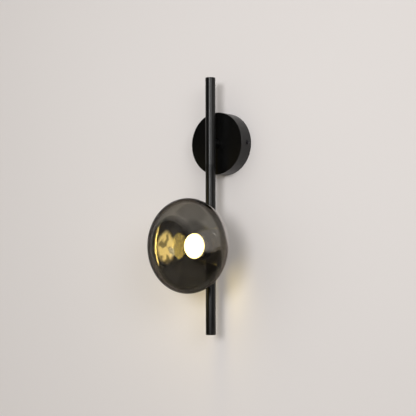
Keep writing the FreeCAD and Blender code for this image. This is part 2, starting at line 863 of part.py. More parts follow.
def lead_earth():
    """The short lead from the earth pole to the ring tag on the bracket."""
    x = POLE_PITCH
    low = STRAP_THICK + TAG_THICK + LEAD_R
    return wire_along(
        route(
            [
                (V(x, BLOCK_Y - 4.0, POLE_HEIGHT), 0),
                (V(x, 6.0, POLE_HEIGHT), 6.0),
                (V(x, -1.0, low), 6.0),
                (V(x, EARTH_Y + 6.0, low), 0),
            ]
        ),
        LEAD_R,
    )


def main():
    os.makedirs("parts", exist_ok=True)

    save("mounting_bracket", mounting_bracket())
    save("earth_screw", earth_screw())
    save("earth_tag", earth_tag())
    save("terminal_block", terminal_block())
    save("terminal_clamps", *terminal_clamps())
    save("terminal_screws", *terminal_screws())

    save("canopy", canopy())
    save("canopy_screws", *canopy_screws())
    save("canopy_nipple", canopy_nipple())
    save("canopy_lock_washer", canopy_lock_washer())
    save("canopy_nut", canopy_nut())
    save("standoff_collar", saddle_collar(CANOPY_DEPTH, ROD_OFF_WALL, 0.0))

    save("rod_tube", rod_tube())
    save("rod_top_cap", rod_cap(top=True))
    save("rod_bottom_cap", rod_cap(top=False))
    save("rod_insert_upper", rod_insert(0.0, towards_wall=True, wires_down=True))
    save("rod_insert_lower", rod_insert(SHADE_HEIGHT, towards_wall=False, wires_down=False))

    save("arm_nipple", arm_nipple())
    save("arm_collar", saddle_collar(ROD_OFF_WALL, CUP_BACK, SHADE_HEIGHT))
    save("holder_cup", holder_cup())
    save("arm_nut", arm_nut())
    save("lampholder", lampholder())
    save("lampholder_contacts", *lampholder_contacts())
    save("lampholder_screws", *lampholder_screws())

    save("glass_shade", glass_shade())
    save("neck_collar", neck_collar())
    save("shade_gasket", shade_gasket())
    save("shade_ring", shade_ring())

    save("lamp_body", lamp_body())
    save("lamp_dome", lamp_dome())
    save("lamp_board", lamp_board())
    save("lamp_chips", *lamp_chips())
    save("lamp_pins", *lamp_pins())

    save("lead_live", supply_lead(-POLE_PITCH, -1))
    save("lead_neutral", supply_lead(0.0, 1))
    save("lead_earth", lead_earth())


main()
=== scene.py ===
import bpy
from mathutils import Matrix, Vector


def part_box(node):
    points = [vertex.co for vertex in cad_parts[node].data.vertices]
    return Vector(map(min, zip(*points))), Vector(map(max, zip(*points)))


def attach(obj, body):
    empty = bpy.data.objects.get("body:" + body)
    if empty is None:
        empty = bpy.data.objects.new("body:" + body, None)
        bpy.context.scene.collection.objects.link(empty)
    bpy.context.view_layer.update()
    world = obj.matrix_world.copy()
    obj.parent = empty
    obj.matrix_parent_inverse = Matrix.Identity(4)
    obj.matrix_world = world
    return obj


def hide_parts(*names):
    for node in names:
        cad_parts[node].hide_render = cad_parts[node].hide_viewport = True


bl_info = {
    "name": "Globe wall sconce",
    "version": (1, 0, 0),
    "blender": (4, 5, 0),
    "location": "3D View > Sidebar > Sconce",
    "description": "Builds the visible pieces of a globe wall sconce around its packed frame",
    "category": "Object",
}

import math

import bmesh
import bpy
from mathutils import Matrix, Vector

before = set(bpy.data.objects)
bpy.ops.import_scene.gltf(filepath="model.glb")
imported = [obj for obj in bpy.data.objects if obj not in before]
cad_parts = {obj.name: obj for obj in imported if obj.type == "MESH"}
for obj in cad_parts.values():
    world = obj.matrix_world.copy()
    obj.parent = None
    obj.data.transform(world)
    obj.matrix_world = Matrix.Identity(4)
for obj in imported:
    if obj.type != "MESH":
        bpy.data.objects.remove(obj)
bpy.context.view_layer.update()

MM = 0.001

# Sizes in millimetres that pieces share. A level is a distance out from the wall.

TUBE_R = 4.95
TUBE_BORE_R = 3.5
TUBE_HOLE_R = 5.0
COLLAR_R = 7.0
NUT_FLATS = 14.0
SIDE_SCREW_LEVEL = 10.0
EARTH_SCREW_AT = (9.5, -17.0)
EARTH_SCREW_SEAT = 2.3
WASHER_BACK = 23.8
CUP_BACK = 51.5
CUP_FLOOR = 53.5
CUP_THREAD = 54.4
CUP_RIM = 59.0
CUP_BORE_R = 26.0
CUP_PITCH = 2.0
POST_FRONT = 63.5
POST_OFF_MIDDLE = 12.6
HOLDER_EAR_FRONT = 67.5
NECK_END = 60.5
FLANGE_R = 27.0
FLANGE_BACK = 60.0
RING_BACK = 54.0
RING_LIP = 61.5
RING_FRONT = 63.0
RING_THREAD_R = 28.3
RING_LIP_R = 25.3
LAMP_BACK = 76.0
LAMP_RIM = 83.0

# The camera, fitted to the outlines of canopy, rod and shade. Metres and degrees.

CAMERA_TARGET = Vector((-0.0368, 0, -0.1018))
CAMERA_AZIMUTH = 37.28
CAMERA_ELEVATION = -2.52
CAMERA_DISTANCE = 1.818
CAMERA_ROLL = -0.1
CAMERA_LENS = 95.8


# Sizes and colours that a user may change


def linear(code):
    """Turns an sRGB hex colour into the linear values that shaders use."""
    parts = [int(code[at : at + 2], 16) / 255 for at in (1, 3, 5)]
    return [*(v / 12.92 if v <= 0.04045 else ((v + 0.055) / 1.055) ** 2.4 for v in parts), 1.0]


def span(node, axis):
    """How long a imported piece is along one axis, in metres, to a tenth of a millimetre."""
    low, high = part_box(node)
    return round((high - low)[axis], 4)


def length(name, default, description):
    """A size that a user may change."""
    return bpy.props.FloatProperty(
        name=name, description=description, default=default, min=0, precision=4, unit="LENGTH"
    )


def colour(name, code, description):
    """A colour that a user may change."""
    return bpy.props.FloatVectorProperty(
        name=name, description=description, default=linear(code), size=4, subtype="COLOR"
    )


CAPS_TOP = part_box("rod_top_cap")[1].z
CAPS_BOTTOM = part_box("rod_bottom_cap")[0].z


class SconceSizes(bpy.types.PropertyGroup):
    """The sizes that a user of the sconce would change."""

    canopy_radius: length("Canopy radius", span("canopy", 0) / 2, "Outer radius of the canopy")
    canopy_depth: length("Canopy depth", span("canopy", 1), "How far the canopy stands off the wall")
    canopy_wall: length("Canopy wall", 0.0012, "Sheet thickness of the canopy")
    rod_radius: length("Rod radius", span("rod_tube", 0) / 2, "Outer radius of the rod")
    rod_bore: length("Rod bore", 0.0068, "Inner radius of the rod")
    rod_off_wall: length("Rod off the wall", 0.0415, "From the wall to the middle of the rod")
    rod_top: length("Rod top", round(CAPS_TOP, 4), "Top of the rod above the canopy's middle")
    rod_length: length("Rod length", round(CAPS_TOP - CAPS_BOTTOM, 4), "Rod with its two caps")
    cap_head: length("Cap head", 0.003, "Height of the rounded head of each cap")
    shade_drop: length("Shade drop", 0.165, "How far the shade hangs below the canopy's middle")
    shade_radius: length("Shade radius", 0.074, "Largest radius of the glass shade")
    shade_depth: length("Shade half depth", 0.039, "Half of the ball's depth, front to back")
    shade_off_wall: length("Shade off the wall", 0.1015, "From the wall to the middle of the ball")
    glass_wall: length("Glass wall", 0.002, "Thickness of the blown glass")
    neck_radius: length("Neck radius", 0.0235, "Outer radius of the glass neck")
    cup_radius: length("Cup radius", span("holder_cup", 0) / 2, "Outer radius of the threaded cup")
    ring_radius: length("Ring radius", 0.030, "Outer radius of the fluted ring nut")
    lamp_radius: length("Lamp radius", span("lamp_body", 0) / 2, "Radius of the plug-in lamp")
    dome_height: length("Dome height", span("lamp_dome", 1), "Height of the frosted dome")


class SconceColours(bpy.types.PropertyGroup):
    """The colours that a user of the sconce would change."""

    coat: colour("Coat", "#020202", "The baked black coat of canopy, rod, cup and ring")
    smoke: colour("Smoke", "#8c8886", "The smoke-grey skin of the glass")
    mirror: colour("Mirror coat", "#a8a593", "The thin metal coat inside the glass")
    lamp_light: colour("Lamp light", "#ffe694", "The light of the frosted dome")
    wall: colour("Wall", "#dfdbda", "The plain wall behind the sconce")
    floor: colour("Floor", "#bfb9ae", "The plain floor under the sconce")


# Materials. A Mix node for colours has them at sockets 6 and 7, and its result at output 2.

SHARE, FIRST, SECOND, MIXED = 0, 6, 7, 2


def add(tree, kind, out=None, sockets=None, **settings):
    """Adds a shader node with its settings, fills sockets with values or links, gives an output."""
    node = tree.nodes.new("ShaderNode" + kind)
    for name, value in settings.items():
        setattr(node, name, value)
    for name, value in (sockets or {}).items():
        if isinstance(value, bpy.types.NodeSocket):
            tree.links.new(value, node.inputs[name])
        else:
            node.inputs[name].default_value = value
    return None if out is None else node.outputs[out]


def per_mm(size):
    """The texture scale at which one feature is this many millimetres across."""
    return 1 / (size * MM)


def per_wave(pitch):
    """The scale at which the bands of a wave texture are this many millimetres apart."""
    return math.tau / 20 / (pitch * MM)


def lumps(size, detail=3.0, rough=0.5):
    """The sockets of a noise whose lumps are about this many millimetres across."""
    return {"Scale": per_mm(size), "Detail": detail, "Roughness": rough}


def tinted(tone, *shares):
    """A colour with its red, green and blue taken to these shares."""
    return [value * share for value, share in zip(tone, shares)] + [1.0]


def material_base(name):
    """An empty material, its nodes, and its place in metres from the middle of the canopy."""
    material = bpy.data.materials.new(name)
    material.use_nodes = True
    tree = material.node_tree
    tree.nodes.clear()
    return material, tree, add(tree, "TexCoord", "Object")


def drift(tree, place, field, low, high):
    """A value that runs from low to high as a field goes from its usual least to its most.

    A field is what lumps() gives, or the output of a node.
    """
    if isinstance(field, dict):
        field = add(tree, "TexNoise", "Fac", {"Vector": place, **field})
    usual = {"Value": field, "From Min": 0.3, "From Max": 0.7, "To Min": low, "To Max": high}
    return add(tree, "MapRange", "Result", usual)


def clouded(tree, place, field, first, second):
    """One colour where a field is low and the other where it is high."""
    sockets = {SHARE: drift(tree, place, field, 0, 1), FIRST: first, SECOND: second}
    return add(tree, "Mix", MIXED, sockets, data_type="RGBA")


def uneven(tree, place, field, strength, depth):
    """The normal of a surface that a field makes uneven by this many millimetres."""
    if isinstance(field, dict):
        field = add(tree, "TexNoise", "Fac", {"Vector": place, **field})
    return add(
        tree, "Bump", "Normal", {"Strength": strength, "Distance": depth * MM, "Height": field}
    )


def close(material, tree, sockets):
    """Ends a material with a Principled shader that has these sockets."""
    shader = add(tree, "BsdfPrincipled", "BSDF", sockets)
    add(tree, "OutputMaterial", sockets={"Surface": shader})
    return material


def varied(base, tone, gloss, relief, more):
    """Ends a material whose tone, gloss and relief vary over it, and which has more sockets.

    Each of the three is a field with two values: two colours, the least and most roughness, or
    a strength and a depth in millimetres.
    """
    material, tree, place = base
    sockets = {
        "Base Color": clouded(tree, place, *tone),
        "Roughness": drift(tree, place, *gloss),
        "Normal": uneven(tree, place, *relief),
    }
    return close(material, tree, sockets | more)


def black_powder_coat():
    """Powder coat on steel, sprayed and baked: satin black, faint orange peel in reflections."""
    coat = list(bpy.context.scene.sconce_colours.coat)
    lifted = [value * 1.5 + 0.0003 for value in coat[:3]] + [1.0]
    return varied(
        material_base("black_powder_coat"),
        tone=(lumps(14.0), coat, lifted),
        gloss=(lumps(5.0), 0.31, 0.37),
        relief=(lumps(1.6, detail=1.0, rough=0.4), 0.06, 0.007),
        more={"IOR": 1.42},
    )


def zinc_plated_steel():
    """Steel with bright zinc plate and clear passivation: cool grey, cloudy, softly mirror-like."""
    return varied(
        material_base("zinc_plated_steel"),
        tone=(lumps(2.6, detail=5.0), linear("#a9aeb3"), linear("#d0d1cc")),
        gloss=(lumps(0.9), 0.24, 0.42),
        relief=(lumps(0.45), 0.18, 0.01),
        more={"Metallic": 1.0},
    )


def black_oxide_steel():
    """Screws blackened in a hot bath: near black metal with a dry oily sheen."""
    return varied(
        material_base("black_oxide_steel"),
        tone=(lumps(0.8), linear("#1f1f22"), linear("#3a393b")),
        gloss=(lumps(0.5), 0.3, 0.46),
        relief=(lumps(0.25), 0.2, 0.006),
        more={"Metallic": 1.0},
    )


def tinned_copper():
    """Copper terminal with hot tin: pale warm silver, slightly wavy."""
    material, tree, place = material_base("tinned_copper")
    clouds = drift(tree, place, lumps(1.5), 0, 1)
    return varied(
        (material, tree, place),
        tone=(lumps(1.5), linear("#c3bfb6"), linear("#dddbd2")),
        gloss=(clouds, 0.22, 0.36),
        relief=(lumps(0.8), 0.3, 0.02),
        more={"Metallic": 1.0},
    )


def turned_brass():
    """Brass turned on a lathe: yellow metal with fine rings. The 0.1 mm feed is drawn at 0.35 mm."""
    material, tree, place = material_base("turned_brass")
    waves = {"Vector": place, "Scale": per_wave(0.35), "Distortion": 0.6, "Detail Scale": 2.0}
    rings = add(tree, "TexWave", "Fac", waves, bands_direction="Z")
    return varied(
        (material, tree, place),
        tone=(lumps(3.0), linear("#c9a75c"), linear("#e2c478")),
        gloss=(rings, 0.2, 0.32),
        relief=(rings, 0.25, 0.01),
        more={"Metallic": 1.0},
    )


def natural_nylon():
    """Unpigmented nylon, moulded: milky, a little waxy, light soaks into its edges."""
    return varied(
        material_base("natural_nylon"),
        tone=(lumps(4.0), linear("#dcd8cb"), linear("#ece9df")),
        gloss=(lumps(1.0), 0.34, 0.48),
        relief=(lumps(0.5), 0.15, 0.01),
        more={
            "IOR": 1.53,
            "Subsurface Weight": 0.25,
            "Subsurface Radius": (1.0, 0.9, 0.75),
            "Subsurface Scale": 0.0015,
        },
    )


def steatite():
    """Pressed and fired lampholder ceramic, unglazed: cream, dry, with fine dark specks."""
    material, tree, place = material_base("steatite")
    cells = {"Vector": place, "Scale": per_mm(0.9)}
    near = add(tree, "TexVoronoi", "Distance", cells, feature="F1")
    dots = {"Value": near, "From Min": 0.02, "From Max": 0.12, "To Min": 0.35, "To Max": 0.0}
    specks = add(tree, "MapRange", "Result", dots)
    body = clouded(tree, place, lumps(3.5), linear("#e6dfd0"), linear("#f0ebdf"))
    speckled = {SHARE: specks, FIRST: body, SECOND: linear("#a3947a")}
    return close(
        material,
        tree,
        {
            "Base Color": add(tree, "Mix", MIXED, speckled, data_type="RGBA"),
            "Roughness": drift(tree, place, lumps(0.8), 0.5, 0.66),
            "IOR": 1.55,
            "Normal": uneven(tree, place, lumps(0.35), 0.3, 0.02),
        },
    )


def drawn_nickel(name, stretch, width, tones, gloss, depth):
    """Nickel plate on drawn metal, whose lines, this many millimetres wide, run out from the wall."""
    material, tree, place = material_base(name)
    along = add(tree, "Mapping", "Vector", {"Vector": place, "Scale": (1.0, stretch, 1.0)})
    lines = add(tree, "TexNoise", "Fac", {"Vector": along, **lumps(width, detail=2.0)})
    return varied(
        (material, tree, place),
        tone=(lines, *tones),
        gloss=(lines, *gloss),
        relief=(lines, 0.2, depth),
        more={"Metallic": 1.0},
    )


def nickel_plated_bronze():
    """Bronze spring strip with nickel plate: warm silver with rolling lines along the strip."""
    tones = linear("#c2b79f"), linear("#d6cdb8")
    return drawn_nickel("nickel_plated_bronze", 0.08, 0.2, tones, (0.2, 0.34), 0.004)


def nickel_plated_wire():
    """Drawn wire with nickel plate: bright grey, with drawing lines along it."""
    tones = linear("#bdbab4"), linear("#d8d5cf")
    return drawn_nickel("nickel_plated_wire", 0.05, 0.15, tones, (0.18, 0.3), 0.003)


def smoked_glass():
    """Outer skin of blown smoke glass, thinly metallised from the front.

    A dark half mirror. The coat ends just behind the widest part, and the band of bare glass
    behind its end shines brighter. In the lower half the coat's end is drawn 6 mm further
    back, which is painted shade: it darkens the lower rim.
    """
    material, tree, place = material_base("smoked_glass")
    smoke = list(bpy.context.scene.sconce_colours.smoke)
    thin = [min(1.0, value * 2.4) for value in smoke[:3]] + [1.0]
    widest = -bpy.context.scene.sconce_sizes.shade_off_wall
    smooth = {"interpolation_type": "SMOOTHSTEP"}
    out = add(tree, "SeparateXYZ", "Y", {"Vector": place})
    up = add(tree, "SeparateXYZ", "Z", {"Vector": place})
    # Painted shade: below the middle the coat's end moves up to 6 mm further back, darkening the
    # lower rim
    painted_shade_span = {"Value": up, "From Min": -0.145, "From Max": -0.175, "To Max": 0.006}
    painted_shade_shift = add(tree, "MapRange", "Result", painted_shade_span, **smooth)
    level = add(tree, "Math", "Value", {0: out, 1: painted_shade_shift}, operation="SUBTRACT")
    coat_end = {"Value": level, "From Min": widest - 0.001, "From Max": widest + 0.004}
    passed = add(tree, "MapRange", "Result", coat_end)
    band_end = {"Value": out, "From Min": widest + 0.032, "From Max": widest + 0.006}
    before = add(tree, "MapRange", "Result", band_end, **smooth)
    behind = add(tree, "Math", "Value", {0: passed, 1: before}, operation="MULTIPLY")
    facing = add(tree, "LayerWeight", "Facing", {"Blend": 0.5})
    grazing = add(tree, "Math", "Value", {0: facing, 1: 4.0}, operation="POWER")
    least = add(tree, "MapRange", "Result", {"Value": behind, "To Min": 0.5, "To Max": 0.85})
    cover = add(tree, "MapRange", "Result", {"Value": grazing, "To Min": least, "To Max": 1.0})
    front = clouded(tree, place, lumps(60.0, detail=0.0), smoke, tinted(smoke, 1.12, 1.04, 0.94))
    skin = {SHARE: behind, FIRST: front, SECOND: thin}
    rim = {SHARE: behind, FIRST: linear("#4a4643"), SECOND: linear("#ffffff")}
    return close(
        material,
        tree,
        {
            "Base Color": add(tree, "Mix", MIXED, skin, data_type="RGBA"),
            "Metallic": 1.0,
            "Roughness": drift(tree, place, lumps(12.0), 0.012, 0.03),
            "Specular Tint": add(tree, "Mix", MIXED, rim, data_type="RGBA"),
            "Alpha": cover,
            "Normal": uneven(tree, place, lumps(34.0, detail=1.0), 0.35, 0.25),
        },
    )


def mirror_coat():
    """Thin metal coat evaporated inside the glass: half mirror, slightly golden where it is thin."""
    mirror = list(bpy.context.scene.sconce_colours.mirror)
    return varied(
        material_base("mirror_coat"),
        tone=(lumps(55.0, detail=1.0), mirror, tinted(mirror, 0.97, 0.95, 0.84)),
        gloss=(lumps(10.0), 0.012, 0.035),
        relief=(lumps(30.0, detail=1.0), 0.4, 0.3),
        more={"Metallic": 1.0, "Specular Tint": linear("#5c574f"), "Alpha": 0.6},
    )


def clear_silicone():
    """Moulded silicone washer: milky, soft, slightly tacky sheen."""
    material, tree, place = material_base("clear_silicone")
    clouds = drift(tree, place, lumps(2.0), 0, 1)
    return varied(
        (material, tree, place),
        tone=(lumps(2.0), linear("#c9c7bf"), linear("#dddbd4")),
        gloss=(clouds, 0.38, 0.52),
        relief=(lumps(0.6), 0.15, 0.01),
        more={
            "IOR": 1.41,
            "Subsurface Weight": 0.4,
            "Subsurface Radius": (1.0, 1.0, 0.9),
            "Subsurface Scale": 0.001,
        },
    )


def white_polyester():
    """Glass-filled polyester, moulded against spark-eroded steel: white with a tight matt grain."""
    return varied(
        material_base("white_polyester"),
        tone=(lumps(6.0), linear("#e9e6df"), linear("#f3f1eb")),
        gloss=(lumps(0.7), 0.34, 0.46),
        relief=(lumps(0.4), 0.25, 0.015),
        more={
            "IOR": 1.57,
            "Subsurface Weight": 0.1,
            "Subsurface Radius": (1.0, 0.95, 0.85),
            "Subsurface Scale": 0.0008,
        },
    )


def lit_opal_dome():
    """Frosted polycarbonate lit from inside: warm, hot over the LEDs and much dimmer at its skirt."""
    material, tree, place = material_base("lit_opal_dome")
    light = list(bpy.context.scene.sconce_colours.lamp_light)
    out = add(tree, "SeparateXYZ", "Y", {"Vector": place})
    skirt = {"Value": out, "From Min": -0.0835, "From Max": -0.0855, "To Min": 4.0, "To Max": 24.0}
    glow = clouded(tree, place, lumps(6.0, detail=1.0), light, tinted(light, 1.0, 0.93, 0.8))
    return close(
        material,
        tree,
        {
            "Base Color": linear("#f4efe4"),
            "Roughness": drift(tree, place, lumps(1.0), 0.45, 0.6),
            "IOR": 1.58,
            "Emission Color": glow,
            "Emission Strength": add(tree, "MapRange", "Result", skirt),
            "Normal": uneven(tree, place, lumps(0.4), 0.2, 0.01),
        },
    )


def white_board():
    """Aluminium circuit board under white solder resist: glossy white with printed copper rings."""
    material, tree, place = material_base("white_board")
    drop = bpy.context.scene.sconce_sizes.shade_drop
    centred = add(tree, "Mapping", "Vector", {"Vector": place, "Location": (0.0, 0.0, drop)})
    waves = {"Vector": centred, "Scale": per_wave(3.0)}
    rings = add(tree, "TexWave", "Fac", waves, wave_type="RINGS", rings_direction="Y")
    raised = drift(tree, place, rings, 0, 1)
    return varied(
        (material, tree, place),
        tone=(rings, linear("#f0eee8"), linear("#e3dfd2")),
        gloss=(lumps(0.8), 0.22, 0.34),
        relief=(raised, 0.4, 0.035),
        more={"IOR": 1.52},
    )


def phosphor():
    """Silicone filled with phosphor over each LED: egg-yolk yellow and grainy, lit from below."""
    material, tree, place = material_base("phosphor")
    grains = lumps(0.3)
    raised = drift(tree, place, grains, 0, 1)
    return close(
        material,
        tree,
        {
            "Base Color": clouded(tree, place, grains, linear("#e6b53c"), linear("#f0cd62")),
            "Roughness": 0.4,
            "IOR": 1.41,
            "Emission Color": clouded(tree, place, grains, linear("#ffe28a"), linear("#ffd05e")),
            "Emission Strength": 10.0,
            "Normal": uneven(tree, place, raised, 0.2, 0.01),
        },
    )


def sleeve(name, code, other_code=None):
    """Extruded vinyl sleeve of a lead: soft gloss, with the faint lengthwise drag of the die."""
    material, tree, place = material_base(name)
    tone = linear(code)
    body = clouded(tree, place, lumps(1.6), tinted(tone, 0.8, 0.8, 0.8), tone)
    if other_code:
        across = add(tree, "SeparateXYZ", "X", {"Vector": place})
        middle = EARTH_SCREW_AT[0] + 0.2
        half = add(tree, "Math", "Value", {0: across, 1: middle * MM}, operation="GREATER_THAN")
        stripe = {SHARE: half, FIRST: body, SECOND: linear(other_code)}
        body = add(tree, "Mix", MIXED, stripe, data_type="RGBA")
    return close(
        material,
        tree,
        {
            "Base Color": body,
            "Roughness": drift(tree, place, lumps(1.6), 0.36, 0.5),
            "IOR": 1.53,
            "Normal": uneven(tree, place, lumps(0.5), 0.15, 0.01),
        },
    )


def brown_vinyl():
    """The live lead."""
    return sleeve("brown_vinyl", "#5b3420")


def blue_vinyl():
    """The neutral lead."""
    return sleeve("blue_vinyl", "#1f5fa8")


def striped_vinyl():
    """The earth lead, half green and half yellow along its length."""
    return sleeve("striped_vinyl", "#2f8a3a", "#e0c52a")


FINISHES = {
    "zinc_steel": zinc_plated_steel,
    "tinned_copper": tinned_copper,
    "nylon": natural_nylon,
    "brass": turned_brass,
    "black_powder_coat": black_powder_coat,
    "black_steel": black_oxide_steel,
    "steatite": steatite,
    "nickel_bronze": nickel_plated_bronze,
    "smoked_mirror_glass": smoked_glass,
    "mirror_coat": mirror_coat,
    "silicone": clear_silicone,
    "white_plastic": white_polyester,
    "frosted_dome": lit_opal_dome,
    "aluminium_board": white_board,
    "led_phosphor": phosphor,
    "nickel_wire": nickel_plated_wire,
    "brown_lead": brown_vinyl,
    "blue_lead": blue_vinyl,
    "green_lead": striped_vinyl,
}
made = {}


def finish(name):
    """The material of this name, made the first time that it is asked for."""
    if name not in made:
        made[name] = FINISHES[name]()
    return made[name]


# Shapes. Outlines are in millimetres, as (radius, out) points round an axis.


def rounded(corners):
    """Fills a closed outline of (radius, out, fillet) corners with an arc at each fillet.

    A point just before and just after each arc keeps the flats beside it flat in shading.
    """
    steps, support = 5, 0.12
    points = []
    for index, corner in enumerate(corners):
        here = Vector(corner[:2])
        fillet = corner[2] if len(corner) > 2 else 0
        if not fillet:
            points.append(here)
            continue
        before = Vector(corners[index - 1][:2]) - here
        after = Vector(corners[(index + 1) % len(corners)][:2]) - here
        half = before.angle(after) / 2
        reach = fillet / math.tan(half)
        start = before.normalized()
        end = after.normalized()
        centre = here + (start + end).normalized() * (fillet / math.sin(half))
        first = here + start * reach - centre
        last = here + end * reach - centre
        if before.length > reach + 2 * support:
            points.append(here + start * (reach + support))
        for step in range(steps + 1):
            points.append(centre + first.slerp(last, step / steps).normalized() * fillet)
        if after.length > reach + 2 * support:
            points.append(here + end * (reach + support))
    return [(max(point.x, 0.0), point.y) for point in points]


def turned(outline, segments, warp=None):
    """Spins a closed outline round the out axis; warp(radius, out, angle) may move each point."""
    mesh = bmesh.new()
    rows = []
    for radius, out in outline:
        if radius < 1e-6:
            rows.append([mesh.verts.new((0, 0, out))] * segments)
            continue
        row = []
        for step in range(segments):
            angle = math.tau * step / segments
            r, c = warp(radius, out, angle) if warp else (radius, out)
            row.append(mesh.verts.new((r * math.cos(angle), r * math.sin(angle), c)))
        rows.append(row)
    for low, high in zip(rows, rows[1:] + rows[:1]):
        for step in range(segments):
            after = (step + 1) % segments
            corners = (low[step], low[after], high[after], high[step])
            loop = list(dict.fromkeys(corners))
            if len(loop) > 2:
                mesh.faces.new(loop)
    bmesh.ops.recalc_face_normals(mesh, faces=mesh.faces)
    return mesh


def rows_between(radius, start, end, pitch, per_turn=8):
    """Outline points close enough together to carry a thread of this pitch."""
    count = max(2, round(abs(end - start) / pitch * per_turn))
    return [(radius, start + (end - start) * step / count) for step in range(count + 1)]


def thread(pitch, depth, start, end, wall):
    """A warp that cuts a screw thread between two levels into the wall at this radius.

    A positive depth cuts towards the axis and a negative one away from it.
    """

    def warp(radius, out, angle):
        if abs(radius - wall) > 0.01 or not start <= out <= end:
            return radius, out
        phase = (out / pitch - angle / math.tau) % 1
        flank = min(1.0, max(0.0, 1.25 * (1 - abs(2 * phase - 1)) - 0.1))
        fade = min(1.0, (out - start) / pitch, (end - out) / pitch)
        return radius - depth * (flank * fade), out

    return warp


def hull(points):
    """The solid stretched over these points."""
    mesh = bmesh.new()
    for point in points:
        mesh.verts.new(point)
    bmesh.ops.convex_hull(mesh, input=mesh.verts)
    return mesh


def peg(radius, start, end):
    """A round bar between two levels, used as a cutter."""
    return turned([(0, start), (radius, start), (radius, end), (0, end)], 64)


def turn(mesh, angle, axis):
    """Turns a mesh about the origin."""
    rotation = Matrix.Rotation(math.radians(angle), 3, axis)
    bmesh.ops.rotate(mesh, verts=mesh.verts, cent=(0, 0, 0), matrix=rotation)
    return mesh


def shift(mesh, *way):
    """Moves a mesh by this many millimetres across, up and out."""
    bmesh.ops.translate(mesh, verts=mesh.verts, vec=way)
    return mesh


def as_object(name, mesh):
    """Turns a bmesh into an object in the scene."""
    data = bpy.data.meshes.new(name)
    mesh.to_mesh(data)
    mesh.free()
    piece = bpy.data.objects.new(name, data)
    bpy.context.scene.collection.objects.link(piece)
    return piece


def settle(piece):
    """Replaces a piece's mesh with what its modifiers make of it."""
    bpy.context.view_layer.update()
    graph = bpy.context.evaluated_depsgraph_get()
    data = bpy.data.meshes.new_from_object(piece.evaluated_get(graph))
    old = piece.data
    piece.modifiers.clear()
    piece.data = data
    bpy.data.meshes.remove(old)


def cut(mesh, *cutters):
    """Takes the cutters out of a mesh."""
    piece = as_object("being_cut", mesh)
    tools = [as_object("cutter", cutter) for cutter in cutters]
    for tool in tools:
        step = piece.modifiers.new("cut", "BOOLEAN")
        step.object = tool
        step.solver = "EXACT"
    settle(piece)
    result = bmesh.new()
    result.from_mesh(piece.data)
    for item in (piece, *tools):
        data = item.data
        bpy.data.objects.remove(item)
        bpy.data.meshes.remove(data)
    if not result.faces:
        raise RuntimeError("a cut left nothing of the piece")
    return result


def joined(*meshes):
    """Puts several meshes in one."""
    whole = bmesh.new()
    for mesh in meshes:
        data = bpy.data.meshes.new("part")
        mesh.to_mesh(data)
        mesh.free()
        whole.from_mesh(data)
        bpy.data.meshes.remove(data)
    return whole


def facing_room(height=0.0):
    """Places an outline's axis square to the wall, at this height in millimetres."""
    return Matrix(((MM, 0, 0, 0), (0, 0, -MM, 0), (0, MM, 0, height * MM), (0, 0, 0, 1)))


def upright(off_wall):
    """Places an outline's axis upright, this many millimetres off the wall."""
    return Matrix(((MM, 0, 0, 0), (0, MM, 0, -off_wall * MM), (0, 0, MM, 0), (0, 0, 0, 1)))


def stand_in(piece, name, body, coats):
    """Gives a piece its finishes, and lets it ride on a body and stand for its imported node."""
    for coat in coats:
        piece.data.materials.append(finish(coat))
    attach(piece, body)
    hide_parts(name)


def show(name, mesh, place, body, slot, coats=None, sharp=38):
    """Places a piece, shades it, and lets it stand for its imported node."""
    bmesh.ops.transform(mesh, matrix=place, verts=mesh.verts)
    bmesh.ops.remove_doubles(mesh, verts=mesh.verts, dist=1e-7)
    bmesh.ops.recalc_face_normals(mesh, faces=mesh.faces)
    piece = as_object(name + "_detail", mesh)
    piece.data.shade_smooth()
    piece.data.set_sharp_from_angle(angle=math.radians(sharp))
    stand_in(piece, name, body, coats or [slot])


def eased(name, body, slot, width):
    """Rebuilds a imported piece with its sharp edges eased, as tumbling or a mould leaves them."""
    mesh = bmesh.new()
    mesh.from_mesh(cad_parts[name].data)
    bmesh.ops.remove_doubles(mesh, verts=mesh.verts, dist=2e-6)
    flat = math.radians(1.0)
    bmesh.ops.dissolve_limit(
        mesh, angle_limit=flat, verts=mesh.verts, edges=mesh.edges, use_dissolve_boundaries=False
    )
    bmesh.ops.recalc_face_normals(mesh, faces=mesh.faces)
    piece = as_object(name + "_detail", mesh)
    piece.data.shade_smooth()
    bevel = piece.modifiers.new("ease", "BEVEL")
    bevel.width = width * MM
    bevel.segments = 2
    bevel.limit_method = "ANGLE"
    bevel.angle_limit = math.radians(35)
    bevel.harden_normals = True
    settle(piece)
    stand_in(piece, name, body, [slot])


def dress(node, slot):
    """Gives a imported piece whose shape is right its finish."""
    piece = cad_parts[node]
    piece.data.materials.clear()
    piece.data.materials.append(finish(slot))


def sizes():
    """The sizes in millimetres, by name."""
    group = bpy.context.scene.sconce_sizes
    return {name: round(getattr(group, name) / MM, 4) for name in SconceSizes.__annotations__}


def pan_screw(head_r, head, thread_r, shank):
    """A pan-head screw with a cross recess, its seat at level 0 and its shank behind it."""
    pitch, tip, neck = 0.5, 0.35, 0.4
    outline = [(0, -shank), (thread_r - tip, -shank)]
    outline += rows_between(thread_r, -shank + tip, -neck, pitch)
    outline += [(thread_r, 0), (head_r - 0.15, 0), (head_r, 0.15), (head_r, head * 0.35)]
    rises = [math.radians(step * 9) for step in range(1, 10)]
    outline += [(head_r * math.cos(t), head * (0.35 + 0.65 * math.sin(t))) for t in rises]
    outline.append((0, head))
    cutting = thread(pitch, 0.61 * pitch, -shank, -neck, thread_r)
    top, bottom = head + 0.4, head - 0.62 * head_r
    wide, narrow, thin = 0.66 * head_r, 0.2 * head_r, 0.13 * head_r
    corners = [(x, y, top) for x in (-wide, wide) for y in (-thin, thin)]
    corners += [(x, y, bottom) for x in (-narrow, narrow) for y in (-thin * 0.7, thin * 0.7)]
    arms = [turn(hull(corners), way, "Z") for way in (0, 90)]
    return cut(turned(outline, 48, cutting), *arms)


